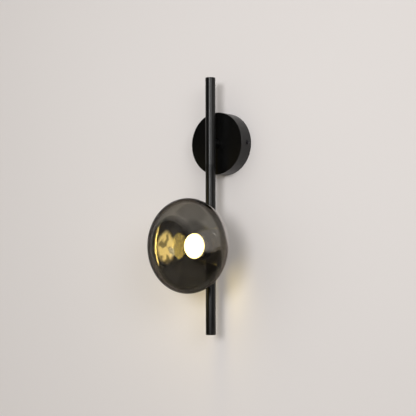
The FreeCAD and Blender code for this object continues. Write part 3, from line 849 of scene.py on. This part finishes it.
def hexagon_nut(start, end):
    """A hexagon nut between two levels whose corners are chamfered on both faces."""
    bore, bevel = TUBE_HOLE_R, 0.4
    corner_r = NUT_FLATS / math.sqrt(3)
    face_r = NUT_FLATS * 0.475
    rise = (corner_r - face_r) * math.tan(math.radians(30))
    cone = [(face_r + (corner_r - face_r) * s / 6, rise * s / 6) for s in range(7)]
    outline = [(bore + bevel, start), *((r, start + up) for r, up in cone)]
    outline += [(r, end - up) for r, up in reversed(cone)]
    outline += [(bore + bevel, end), (bore, end - bevel), (bore, start + bevel)]

    def flats(radius, out, angle):
        off_flat = (angle + math.pi / 6) % (math.pi / 3) - math.pi / 6
        return min(radius, NUT_FLATS / 2 / math.cos(off_flat)), out

    return turned(outline, 96, flats)


def shade_outline(s, inset, neck_r):
    """The glass outline from the neck to the front: three tangent arcs, mirrored front to back."""
    middle_r, shoulder_r, rim_r = 130.0, 58.0, 23.0
    middle = Vector((0, s["shade_depth"] - middle_r))
    rim = Vector((s["shade_radius"] - rim_r, 0))
    apart = rim - middle
    to_middle = middle_r - shoulder_r
    to_rim = shoulder_r - rim_r
    along = (to_middle**2 - to_rim**2 + apart.length**2) / (2 * apart.length)
    aside = math.sqrt(to_middle**2 - along**2)
    towards = apart.normalized()
    shoulder = middle + towards * along + Vector((-towards.y, towards.x)) * aside
    middle_end = math.atan2(*(shoulder - middle))
    shoulder_end = math.atan2(*(rim - shoulder))

    def arc(centre, radius, first, last, count):
        spread = [first + (last - first) * step / count for step in range(count)]
        return [centre + Vector((math.sin(t), math.cos(t))) * (radius - inset) for t in spread]

    front = arc(middle, middle_r, 0, middle_end, 18)
    front += arc(shoulder, shoulder_r, middle_end, shoulder_end, 20)
    front += arc(rim, rim_r, shoulder_end, math.pi / 2, 18)
    back_level = -(middle.y + math.sqrt((middle_r - inset) ** 2 - neck_r**2))
    back = [Vector((p.x, -p.y)) for p in front if p.x > neck_r + 2.5]
    points = [Vector((neck_r, back_level)), *back, Vector((s["shade_radius"] - inset, 0))]
    points += reversed(front)
    return [(point.x, point.y + s["shade_off_wall"]) for point in points]


# One operator for each piece or group of like pieces


class SCONCE_OT_stage(bpy.types.Operator):
    """Wall, floor, soft lights and the camera"""

    bl_idname = "sconce.stage"
    bl_label = "Stage"

    def execute(self, context):
        colours = context.scene.sconce_colours
        context.scene.view_settings.view_transform = "Standard"

        world = bpy.data.worlds.new("soft_room")
        world.use_nodes = True
        sky = world.node_tree.nodes["Background"]
        sky.inputs["Color"].default_value = linear("#fdfbf8")
        sky.inputs["Strength"].default_value = 0.66
        context.scene.world = world

        wall = self.wall_with_box_hole(half_width=3.0, half_height=2.5, middle=0.6)
        wall.data.materials.append(self.paint("wall_paint", colours.wall, one_sided=True))
        wall.visible_shadow = False
        wall.visible_diffuse = False
        floor = self.board("floor", 60.0, 60.0)
        floor.location = (0, 0, -1.3)
        floor.data.materials.append(self.paint("floor_paint", colours.floor))

        dark, pale, gold = linear("#241e19"), linear("#bab8b8"), linear("#ffe38c")
        # Name, width and height, middle, point that it faces, tone, and how dense it is
        for flag in (
            ("left_flag", (4.2, 2.8), (-1.55, -1.6, 0.0), (0, 0, 0), dark, 1.0),
            ("low_flag", (9.0, 9.0), (0, -3.2, -1.2), (0, -3.2, 0), dark, 0.95),
            ("high_flag", (5.0, 5.0), (-0.6, -2.0, 3.2), (0, 0, 0), dark, 0.35),
            ("front_flag", (11.0, 8.0), (0.8, -5.4, 0.6), (0, 0, 0), dark, 0.6),
            ("under_flag", (0.8, 0.5), (0.36, -0.18, -0.27), (0.36, -0.18, 1.0), dark, 1.0),
        ):
            self.card(*flag)
        veil_at, veil_to = (0.118, -0.209, -0.14), (0.06, -0.122, -0.155)
        self.card("veil", (0.23, 0.13), veil_at, veil_to, pale, 1.0, glow=1.3)
        gold_at, gold_to = (-0.246, -0.329, -0.17), (0.0, -0.12, -0.165)
        self.card("gold_card", (0.25, 0.25), gold_at, gold_to, gold, 0.9, glow=4.4, patches=70.0)
        self.hoop("hoop_flag", 0.13, (0, -0.1015, -0.165), (-0.012, 0.072), dark, 0.6)

        middle = Vector((0, -0.05, -0.1))
        beside = Vector((0.08, 0, 0.1))
        self.light("key", (19.0, 9.0), 4.0, (1.4, 1.2), 5.7, 50.0, middle, beside)
        self.light("side", (53.0, 13.0), 4.8, (1.8, 1.8), 6.9, 70.0, middle, middle)

        lens = bpy.data.cameras.new("camera")
        lens.lens = CAMERA_LENS
        lens.sensor_width = 36.0
        lens.clip_start = 0.05
        camera = bpy.data.objects.new("camera", lens)
        away = self.direction(CAMERA_AZIMUTH, CAMERA_ELEVATION) * CAMERA_DISTANCE
        camera.location = CAMERA_TARGET + away
        aim = (CAMERA_TARGET - camera.location).to_track_quat("-Z", "Y").to_matrix()
        roll = Matrix.Rotation(math.radians(CAMERA_ROLL), 3, "Z")
        camera.rotation_euler = (aim @ roll).to_euler()
        context.scene.collection.objects.link(camera)
        context.scene.camera = camera
        return {"FINISHED"}

    def direction(self, azimuth, elevation):
        """The unit vector towards this side; azimuth 0 is straight out from the wall."""
        across, up = math.radians(azimuth), math.radians(elevation)
        return Vector(
            (math.sin(across) * math.cos(up), -math.cos(across) * math.cos(up), math.sin(up))
        )

    def wall_with_box_hole(self, half_width, half_height, middle):
        """A flat wall with the round opening of the cable's box, which the canopy covers."""
        level, hole_r = 0.0003, 0.04
        mesh = bmesh.new()
        corner = math.atan2(half_height, half_width)
        corners = [corner, math.pi - corner, math.pi + corner, math.tau - corner]
        angles = sorted([math.tau * step / 48 for step in range(48)] + corners)
        rows = []
        for angle in angles:
            x, z = math.cos(angle), math.sin(angle)
            reach = min(half_width / max(abs(x), 1e-9), half_height / max(abs(z), 1e-9))
            edge = (x * reach, level, z * reach + middle)
            rows.append([mesh.verts.new((x * hole_r, level, z * hole_r)), mesh.verts.new(edge)])
        for one, other in zip(rows, rows[1:] + rows[:1]):
            mesh.faces.new((one[0], one[1], other[1], other[0]))
        return as_object("wall", mesh)

    def board(self, name, width, height):
        """A flat sheet, cut into squares."""
        mesh = bmesh.new()
        bmesh.ops.create_grid(mesh, x_segments=8, y_segments=8, size=0.5)
        bmesh.ops.scale(mesh, vec=(width, height, 1), verts=mesh.verts)
        return as_object(name, mesh)

    def paint(self, name, tone, one_sided=False):
        """Matt wall paint put on with a roller: even colour and a very fine stipple."""
        material, tree, place = material_base(name)
        tone = list(tone)
        sockets = {
            "Base Color": clouded(
                tree, place, lumps(400.0, detail=1.0), tone, tinted(tone, 0.985, 0.985, 0.985)
            ),
            "Roughness": 0.9,
            "Specular IOR Level": 0.2,
            "Normal": uneven(tree, place, lumps(2.5), 0.08, 0.05),
        }
        shader = add(tree, "BsdfPrincipled", "BSDF", sockets)
        if one_sided:
            back = add(tree, "NewGeometry", "Backfacing")
            clear = add(tree, "BsdfTransparent", "BSDF")
            shader = add(tree, "MixShader", "Shader", {0: back, 1: shader, 2: clear})
        add(tree, "OutputMaterial", sockets={"Surface": shader})
        return material

    def weave(self, tree, place, tone):
        """The colour of a cloth or card, a little darker in its coarse weave."""
        return clouded(tree, place, lumps(4.0), tone, tinted(tone, 0.85, 0.85, 0.85))

    def card(self, name, size, middle, towards, tone, density, glow=0.0, patches=0.0):
        """A soft-edged cloth, or a lit card behind a honeycomb grid, that only reflections show."""
        cloth = self.board(name, *size)
        cloth.location = middle
        facing = Vector(towards) - Vector(middle)
        cloth.rotation_euler = facing.to_track_quat("Z", "Y").to_euler()
        material, tree, place = material_base(name + "_cloth")
        halves = {"Vector": place, "Scale": (2 / size[0], 2 / size[1], 1.0)}
        even = {"Vector": add(tree, "Mapping", "Vector", halves)}
        ball = add(tree, "TexGradient", "Fac", even, gradient_type="SPHERICAL")
        edge = {"Value": ball, "From Max": 0.35, "To Max": density}
        sockets = {"Roughness": 0.95, "Alpha": add(tree, "MapRange", "Result", edge)}
        if glow:
            sockets["Base Color"] = linear("#141414")
            sockets["Emission Color"] = self.weave(tree, place, tone)
            sockets["Emission Strength"] = glow
        else:
            sockets["Base Color"] = self.weave(tree, place, tone)
        if patches:
            slant = add(tree, "LayerWeight", "Facing", {"Blend": 0.5})
            grid = {"Value": slant, "From Min": 0.09, "From Max": 0.03, "To Max": glow}
            beam = add(tree, "MapRange", "Result", grid)
            noise = {"Vector": place, **lumps(patches, detail=1.0)}
            broken = add(tree, "TexNoise", "Fac", noise)
            levels = {"Value": broken, "From Min": 0.44, "From Max": 0.52, "To Min": 0.25}
            share = add(tree, "MapRange", "Result", levels)
            strength = add(tree, "Math", "Value", {0: beam, 1: share}, operation="MULTIPLY")
            sockets["Emission Strength"] = strength
        self.for_reflections(cloth, close(material, tree, sockets))

    def hoop(self, name, radius, middle, reach, tone, density):
        """A ring of dark cloth round the glass, which gives it a dark outline in front."""
        near_end, far_end = reach
        bands, segments, fade = 6, 72, 0.012
        mesh = bmesh.new()
        rings = []
        for band in range(bands + 1):
            level = near_end + (far_end - near_end) * band / bands
            angles = [math.tau * step / segments for step in range(segments)]
            ring = [(radius * math.cos(a), level, radius * math.sin(a)) for a in angles]
            rings.append([mesh.verts.new(corner) for corner in ring])
        for near, far in zip(rings, rings[1:]):
            for step in range(segments):
                after = (step + 1) % segments
                mesh.faces.new((near[step], near[after], far[after], far[step]))
        cloth = as_object(name, mesh)
        cloth.location = middle
        material, tree, place = material_base(name + "_cloth")
        level = add(tree, "SeparateXYZ", "Y", {"Vector": place})
        edge = {
            "Value": level, "From Min": near_end, "From Max": near_end + fade, "To Max": density
        }
        sockets = {"Roughness": 0.95, "Alpha": add(tree, "MapRange", "Result", edge)}
        sockets["Base Color"] = self.weave(tree, place, tone)
        self.for_reflections(cloth, close(material, tree, sockets))

    def for_reflections(self, cloth, material):
        """Only reflections show the card, as if it stood just outside the picture."""
        cloth.data.materials.append(material)
        cloth.visible_camera = False
        cloth.visible_diffuse = False
        cloth.visible_shadow = False
        cloth.visible_transmission = False

    def light(self, name, side, distance, size, power, spread, middle, aim):
        """A round soft box on this side of the middle, with its beam aimed at or beside it."""
        lamp = bpy.data.lights.new(name, "AREA")
        lamp.shape = "ELLIPSE"
        lamp.size, lamp.size_y = size
        lamp.energy = power
        lamp.spread = math.radians(spread)
        box = bpy.data.objects.new(name, lamp)
        box.location = middle + self.direction(*side) * distance
        box.rotation_euler = (aim - box.location).to_track_quat("-Z", "Y").to_euler()
        box.visible_camera = False
        bpy.context.scene.collection.objects.link(box)


class SCONCE_OT_canopy(bpy.types.Operator):
    """The drawn steel canopy with its face hole and two side holes"""

    bl_idname = "sconce.canopy"
    bl_label = "Canopy"

    def execute(self, context):
        s = sizes()
        radius, depth, wall = s["canopy_radius"], s["canopy_depth"], s["canopy_wall"]
        outline = rounded(
            [
                (TUBE_HOLE_R, depth, 0.15),
                (radius, depth, 0.6),
                (radius, 0, 0.15),
                (radius - wall, 0, 0.15),
                (radius - wall, depth - wall, 0.5),
                (TUBE_HOLE_R, depth - wall),
            ]
        )
        screw_hole_r = 2.2
        side_holes = turn(peg(screw_hole_r, -radius - 1, radius + 1), 90, "Y")
        cup = cut(turned(outline, 192), shift(side_holes, 0, 0, SIDE_SCREW_LEVEL))
        show("canopy", cup, facing_room(), "fixture", "black_powder_coat")
        return {"FINISHED"}


class SCONCE_OT_screws(bpy.types.Operator):
    """The pan-head screws: two in the canopy, one for the earth and two in the lampholder"""

    bl_idname = "sconce.screws"
    bl_label = "Screws"

    def execute(self, context):
        s = sizes()
        pair = []
        for side in (-1, 1):
            screw = pan_screw(head_r=3.5, head=2.0, thread_r=1.5, shank=6.5)
            at = (side * s["canopy_radius"], 0, SIDE_SCREW_LEVEL)
            pair.append(shift(turn(screw, side * 90, "Y"), *at))
        show("canopy_screws", joined(*pair), facing_room(), "fixture", "black_steel")

        earth = pan_screw(head_r=3.5, head=2.2, thread_r=1.45, shank=EARTH_SCREW_SEAT)
        shift(earth, *EARTH_SCREW_AT, EARTH_SCREW_SEAT)
        show("earth_screw", earth, facing_room(), "fixture", "zinc_steel")

        pair = []
        for side in (-1, 1):
            screw = pan_screw(head_r=2.75, head=1.9, thread_r=1.45, shank=9.5)
            pair.append(shift(screw, 0, side * POST_OFF_MIDDLE, HOLDER_EAR_FRONT))
        place = facing_room(-s["shade_drop"])
        show("lampholder_screws", joined(*pair), place, "fixture", "zinc_steel")
        return {"FINISHED"}


class SCONCE_OT_bracket(bpy.types.Operator):
    """The wall bracket and the earth tag on it"""

    bl_idname = "sconce.bracket"
    bl_label = "Wall bracket"

    def execute(self, context):
        eased("mounting_bracket", "fixture", "zinc_steel", width=0.25)
        eased("earth_tag", "fixture", "tinned_copper", width=0.12)
        return {"FINISHED"}


class SCONCE_OT_terminals(bpy.types.Operator):
    """The terminal block with its brass tubes and clamping screws"""

    bl_idname = "sconce.terminals"
    bl_label = "Terminals"

    def execute(self, context):
        eased("terminal_block", "fixture", "nylon", width=0.2)
        eased("terminal_clamps", "fixture", "brass", width=0.1)
        eased("terminal_screws", "fixture", "zinc_steel", width=0.08)
        return {"FINISHED"}


class SCONCE_OT_threaded_tubes(bpy.types.Operator):
    """The two threaded tubes that clamp the rod between canopy and cup"""

    bl_idname = "sconce.threaded_tubes"
    bl_label = "Threaded tubes"

    def execute(self, context):
        drop = sizes()["shade_drop"]
        bevel, pitch = 0.6, 1.0
        tip, mouth, inner = TUBE_R - bevel, TUBE_BORE_R + 0.2, TUBE_BORE_R
        for name, start, end, height in (
            ("canopy_nipple", 17.5, 38.5, 0.0),
            ("arm_nipple", 44.5, 57.0, -drop),
        ):
            outline = [(mouth, start), (tip, start)]
            outline += rows_between(TUBE_R, start + bevel, end - bevel, pitch)
            outline += [(tip, end), (mouth, end), (inner, end - 0.2), (inner, start + 0.2)]
            tube = turned(outline, 72, thread(pitch, 0.6, start, end, TUBE_R))
            show(name, tube, facing_room(height), "fixture", "zinc_steel")
        return {"FINISHED"}


class SCONCE_OT_nuts(bpy.types.Operator):
    """The hexagon nuts on the threaded tubes and the toothed washer"""

    bl_idname = "sconce.nuts"
    bl_label = "Nuts and washer"

    def execute(self, context):
        drop = sizes()["shade_drop"]
        for name, start, end, height in (
            ("canopy_nut", WASHER_BACK - 4.0, WASHER_BACK, 0.0),
            ("arm_nut", CUP_FLOOR, CUP_FLOOR + 3.0, -drop),
        ):
            show(name, hexagon_nut(start, end), facing_room(height), "fixture", "zinc_steel")

        inner, root, tip, front = 5.1, 6.8, 8.0, WASHER_BACK + 1.0
        middle = (WASHER_BACK + front) / 2
        tooth, twist_height = 0.72, 0.4

        def teeth(radius, out, angle):
            share = angle / math.radians(36) % 1
            level = middle + (out - middle) * 0.5
            if share > tooth and radius > root:
                return root, level
            twist = (share / tooth - 0.5) * max(0.0, radius - root) / (tip - root)
            return radius, level + twist_height * twist

        outline = [(radius, WASHER_BACK) for radius in (inner, root, tip)]
        outline += [(radius, front) for radius in (tip, root, inner)]
        washer = turned(outline, 250, teeth)
        show("canopy_lock_washer", washer, facing_room(), "fixture", "zinc_steel")
        return {"FINISHED"}


class SCONCE_OT_collars(bpy.types.Operator):
    """The two spacers whose ends are cut to sit on the rod"""

    bl_idname = "sconce.collars"
    bl_label = "Collars"

    def execute(self, context):
        s = sizes()
        axis, rod = s["rod_off_wall"], s["rod_radius"]
        bore, outer, ease = TUBE_HOLE_R, COLLAR_R, 0.2
        for name, start, way, height in (
            ("standoff_collar", s["canopy_depth"], 1, 0.0),
            ("arm_collar", CUP_BACK, -1, -s["shade_drop"]),
        ):
            seat = start + way * ease
            ready = axis - way * (rod + 0.5)

            def saddle(radius, out, angle, way=way, ready=ready):
                if (out - ready) * way <= 0:
                    return radius, out
                side = radius * math.cos(angle)
                return radius, axis - way * math.sqrt(rod * rod - side * side)

            outline = [(bore + ease, start), (outer - ease, start), (outer, seat)]
            outline += [(outer, ready), (outer, axis), (bore, axis), (bore, ready), (bore, seat)]
            spacer = turned(outline, 96, saddle)
            show(name, spacer, facing_room(height), "fixture", "black_powder_coat")
        return {"FINISHED"}


class SCONCE_OT_rod(bpy.types.Operator):
    """The rod, its two caps and the tapped slugs inside it"""

    bl_idname = "sconce.rod"
    bl_label = "Rod"

    def execute(self, context):
        s = sizes()
        radius, bore, head = s["rod_radius"], s["rod_bore"], s["cap_head"]
        top = s["rod_top"]
        bottom = top - s["rod_length"]
        place = upright(s["rod_off_wall"])
        outline = rounded(
            [
                (bore, bottom + head),
                (radius, bottom + head, 0.25),
                (radius, top - head, 0.25),
                (bore, top - head),
            ]
        )
        rear = turn(peg(TUBE_HOLE_R, 0, 2 * radius), -90, "X")
        front = turn(peg(TUBE_HOLE_R, 0, 2 * radius), 90, "X")
        tube = cut(turned(outline, 128), rear, shift(front, 0, 0, -s["shade_drop"]))
        show("rod_tube", tube, place, "fixture", "black_powder_coat")

        spigot, spigot_r = 8.0, 6.75
        for name, end, way in (("rod_top_cap", top, 1), ("rod_bottom_cap", bottom, -1)):
            seam = end - way * head
            outline = rounded(
                [
                    (0, seam - way * spigot),
                    (spigot_r, seam - way * spigot, 0.4),
                    (spigot_r, seam),
                    (radius, seam, 0.2),
                    (radius, end, 0.9),
                    (0, end),
                ]
            )
            show(name, turned(outline, 128), place, "fixture", "black_powder_coat")

        eased("rod_insert_upper", "fixture", "brass", width=0.15)
        eased("rod_insert_lower", "fixture", "brass", width=0.15)
        return {"FINISHED"}


class SCONCE_OT_holder_cup(bpy.types.Operator):
    """The cup that carries the lampholder on posts and the ring nut on its thread"""

    bl_idname = "sconce.holder_cup"
    bl_label = "Holder cup"

    def execute(self, context):
        s = sizes()
        radius, bore = s["cup_radius"], CUP_BORE_R
        back = [(TUBE_HOLE_R, CUP_FLOOR), (TUBE_HOLE_R, CUP_BACK, 0.15), (radius, CUP_BACK, 1.5)]
        outline = rounded([*back, (radius, CUP_THREAD - 0.2)])[1:-1]
        outline += rows_between(radius, CUP_THREAD, CUP_RIM - 0.5, CUP_PITCH, 12)
        outline += [(radius - 0.5, CUP_RIM), (bore + 0.2, CUP_RIM), (bore, CUP_RIM - 0.2)]
        outline += [(bore, CUP_FLOOR + 0.6), (bore - 0.2, CUP_FLOOR + 0.15)]
        outline += [(bore - 0.6, CUP_FLOOR), (TUBE_HOLE_R, CUP_FLOOR)]
        cutting = thread(CUP_PITCH, 1.0, CUP_THREAD, CUP_RIM, radius)
        pieces = [turned(outline, 256, cutting)]

        foot, tapped_from, post_r, hole_r = CUP_FLOOR - 0.2, 57.0, 3.5, 1.5
        sides = [(hole_r, foot), (post_r, foot), (post_r, POST_FRONT, 0.25)]
        sides = rounded([*sides, (hole_r, POST_FRONT, 0.2)])[1:]
        outline = [*sides, (hole_r, tapped_from), (0, tapped_from), (0, foot)]
        for side in (-1, 1):
            pieces.append(shift(turned(outline, 48), 0, side * POST_OFF_MIDDLE, 0))
        place = facing_room(-s["shade_drop"])
        show("holder_cup", joined(*pieces), place, "fixture", "black_powder_coat")
        return {"FINISHED"}


class SCONCE_OT_lampholder(bpy.types.Operator):
    """The ceramic lampholder and its spring contacts"""

    bl_idname = "sconce.lampholder"
    bl_label = "Lampholder"

    def execute(self, context):
        eased("lampholder", "fixture", "steatite", width=0.2)
        eased("lampholder_contacts", "fixture", "nickel_bronze", width=0.05)
        return {"FINISHED"}


class SCONCE_OT_glass(bpy.types.Operator):
    """The blown glass shade, with its mirror coat inside"""

    bl_idname = "sconce.glass"
    bl_label = "Glass shade"

    def execute(self, context):
        s = sizes()
        neck_r, wall = s["neck_radius"], s["glass_wall"]
        outside = shade_outline(s, 0, neck_r)
        inside = shade_outline(s, wall, neck_r - wall)
        outline = rounded(
            [
                (neck_r, NECK_END, 0.6),
                (*outside[0], 1.0),
                *outside[1:],
                *reversed(inside[1:]),
                (*inside[0], 0.8),
                (neck_r - wall, NECK_END, 0.6),
            ]
        )
        ball = turned(outline, 192)
        middle = Vector((0, 0, s["shade_off_wall"]))
        for face in ball.faces:
            outward = face.normal.dot(face.calc_center_median() - middle) > 0
            face.material_index = 0 if outward else 1
        place = facing_room(-s["shade_drop"])
        skin = "smoked_mirror_glass"
        show("glass_shade", ball, place, "shade", skin, coats=[skin, "mirror_coat"], sharp=60)
        return {"FINISHED"}


class SCONCE_OT_neck(bpy.types.Operator):
    """The collar glued on the glass neck and the washer behind it"""

    bl_idname = "sconce.neck"
    bl_label = "Neck collar and washer"

    def execute(self, context):
        s = sizes()
        neck = s["neck_radius"]
        place = facing_room(-s["shade_drop"])
        sleeve_r, front, glue = 25.0, NECK_END + 2.8, 0.02
        outline = rounded(
            [
                (neck - 1.5, FLANGE_BACK, 0.15),
                (FLANGE_R, FLANGE_BACK, 0.25),
                (FLANGE_R, RING_LIP, 0.25),
                (sleeve_r, RING_LIP, 0.2),
                (sleeve_r, front, 0.2),
                (neck + glue, front, 0.2),
                (neck + glue, NECK_END),
                (neck - 1.5, NECK_END, 0.15),
            ]
        )
        show("neck_collar", turned(outline, 160), place, "shade", "black_powder_coat")
        corners = [(24.0, CUP_RIM), (FLANGE_R, CUP_RIM), (FLANGE_R, FLANGE_BACK), (24.0, FLANGE_BACK)]
        outline = rounded([(*corner, 0.3) for corner in corners])
        show("shade_gasket", turned(outline, 160), place, "shade", "silicone")
        return {"FINISHED"}


class SCONCE_OT_ring(bpy.types.Operator):
    """The fluted ring nut with its inner thread"""

    bl_idname = "sconce.ring"
    bl_label = "Ring nut"

    def execute(self, context):
        s = sizes()
        radius = s["ring_radius"]
        flutes, flute_r, flute_depth = 36, 1.2, 0.45
        back, front, lip, bore = RING_BACK, RING_FRONT, RING_LIP, RING_THREAD_R
        first, last = back + 0.4, lip - 0.3
        mouth = (bore + 0.4, back)
        chamfer = [(radius - 0.7, back, 0.1), (radius, back + 0.7, 0.2)]
        outline = rounded([mouth, *chamfer, (radius, back + 1.2)])[1:-1]
        outline += [(radius, back + 1.2), (radius, front - 1.2)]
        chamfer = [(radius, front - 0.7, 0.2), (radius - 0.7, front, 0.1)]
        outline += rounded([(radius, front - 1.0), *chamfer, (bore, front)])[1:-1]
        outline += [(RING_LIP_R + 0.3, front), (RING_LIP_R + 0.05, front - 0.2)]
        outline += [(RING_LIP_R, front - 0.4), (RING_LIP_R, lip), (bore, lip)]
        outline += rows_between(bore, last, first, CUP_PITCH, 12)
        outline += [mouth]
        cutting = thread(CUP_PITCH, -0.6, first, last, bore)
        reach = radius + flute_r - flute_depth

        def fluted(r, out, angle):
            if r < radius - 1.0:
                return cutting(r, out, angle)
            pitch = math.tau / flutes
            off = (angle + pitch / 2) % pitch - pitch / 2
            side = reach * math.sin(off)
            if abs(side) >= flute_r:
                return r, out
            groove = reach * math.cos(off) - math.sqrt(flute_r**2 - side**2)
            return min(r, groove), out

        ring = turned(outline, flutes * 20, fluted)
        show("shade_ring", ring, facing_room(-s["shade_drop"]), "ring", "black_powder_coat")
        return {"FINISHED"}


class SCONCE_OT_lamp(bpy.types.Operator):
    """The plug-in lamp: body, frosted dome, board, LEDs and pins"""

    bl_idname = "sconce.lamp"
    bl_label = "Lamp"

    def execute(self, context):
        s = sizes()
        radius, height, rim = s["lamp_radius"], s["dome_height"], LAMP_RIM
        place = facing_room(-s["shade_drop"])
        stem_r, recess_r, floor, dome_wall = 8.5, 18.2, LAMP_RIM - 1.5, 1.2
        outline = rounded(
            [
                (0, LAMP_BACK),
                (stem_r, LAMP_BACK, 0.3),
                (stem_r, LAMP_BACK + 1.2, 0.4),
                (radius - 6.5, LAMP_BACK + 2.6, 1.0),
                (radius - 1.4, rim - 2.4, 0.8),
                (radius, rim - 1.0, 0.4),
                (radius, rim, 0.15),
                (recess_r, rim, 0.15),
                (recess_r, floor),
                (0, floor),
            ]
        )
        show("lamp_body", turned(outline, 128), place, "lamp", "white_plastic")

        ball = (radius**2 + height**2) / (2 * height)
        centre = rim + height - ball

        def cap(r):
            edge = math.acos((rim - centre) / r)
            turns = [edge * step / 24 for step in range(25)]
            return [(r * math.sin(t), centre + r * math.cos(t)) for t in turns]

        dome = turned([*reversed(cap(ball)), *cap(ball - dome_wall)], 128)
        show("lamp_dome", dome, place, "lamp", "frosted_dome")
        eased("lamp_board", "lamp", "aluminium_board", width=0.1)
        eased("lamp_chips", "lamp", "led_phosphor", width=0.1)
        dress("lamp_pins", "nickel_wire")
        self.glow_on_wall(-s["shade_drop"] * MM)
        return {"FINISHED"}

    def glow_on_wall(self, height):
        """The lamp's light on the wall round the fitting, which shines past the lamp's own body."""
        lamp = bpy.data.lights.new("lamp_glow", "SPOT")
        lamp.spot_size = math.radians(160)
        lamp.spot_blend = 1.0
        lamp.color = bpy.context.scene.sconce_colours.lamp_light[:3]
        lamp.energy = 2.0
        lamp.shadow_soft_size = 0.016
        glow = bpy.data.objects.new("lamp_glow", lamp)
        glow.location = (0.011, -0.088, height - 0.015)
        towards_wall = Vector((-0.95, 0.75, -0.55))
        glow.rotation_euler = towards_wall.to_track_quat("-Z", "Y").to_euler()
        glow.visible_glossy = False
        bpy.context.scene.collection.objects.link(glow)
        lit = bpy.data.collections.new("lit_by_lamp_glow")
        lit.objects.link(bpy.data.objects["wall"])
        glow.light_linking.receiver_collection = lit
        passed = bpy.data.collections.new("passed_by_lamp_glow")
        for name in ("lamp_body", "lamp_dome", "lamp_board", "lamp_chips"):
            passed.objects.link(bpy.data.objects[name + "_detail"])
        for item in passed.collection_objects:
            item.light_linking.link_state = "EXCLUDE"
        glow.light_linking.blocker_collection = passed


class SCONCE_OT_leads(bpy.types.Operator):
    """The live, neutral and earth leads inside the sconce"""

    bl_idname = "sconce.leads"
    bl_label = "Leads"

    def execute(self, context):
        dress("lead_live", "brown_lead")
        dress("lead_neutral", "blue_lead")
        dress("lead_earth", "green_lead")
        return {"FINISHED"}


STEPS = (
    SCONCE_OT_stage,
    SCONCE_OT_canopy,
    SCONCE_OT_screws,
    SCONCE_OT_bracket,
    SCONCE_OT_terminals,
    SCONCE_OT_threaded_tubes,
    SCONCE_OT_nuts,
    SCONCE_OT_collars,
    SCONCE_OT_rod,
    SCONCE_OT_holder_cup,
    SCONCE_OT_lampholder,
    SCONCE_OT_glass,
    SCONCE_OT_neck,
    SCONCE_OT_ring,
    SCONCE_OT_lamp,
    SCONCE_OT_leads,
)


class SCONCE_PT_panel(bpy.types.Panel):
    """Lists the sconce's pieces, sizes and colours"""

    bl_idname = "SCONCE_PT_panel"
    bl_label = "Globe wall sconce"
    bl_space_type = "VIEW_3D"
    bl_region_type = "UI"
    bl_category = "Sconce"

    def draw(self, context):
        layout = self.layout
        for step in STEPS:
            layout.operator(step.bl_idname)
        for group in (context.scene.sconce_sizes, context.scene.sconce_colours):
            box = layout.box()
            for name in type(group).__annotations__:
                box.prop(group, name)


CLASSES = (SconceSizes, SconceColours, *STEPS, SCONCE_PT_panel)


def register():
    for item in CLASSES:
        bpy.utils.register_class(item)
    bpy.types.Scene.sconce_sizes = bpy.props.PointerProperty(type=SconceSizes)
    bpy.types.Scene.sconce_colours = bpy.props.PointerProperty(type=SconceColours)


def unregister():
    del bpy.types.Scene.sconce_colours
    del bpy.types.Scene.sconce_sizes
    for item in reversed(CLASSES):
        bpy.utils.unregister_class(item)


def main():
    register()
    for step in STEPS:
        group, name = step.bl_idname.split(".")
        getattr(getattr(bpy.ops, group), name)()


if __name__ == "__main__":
    main()
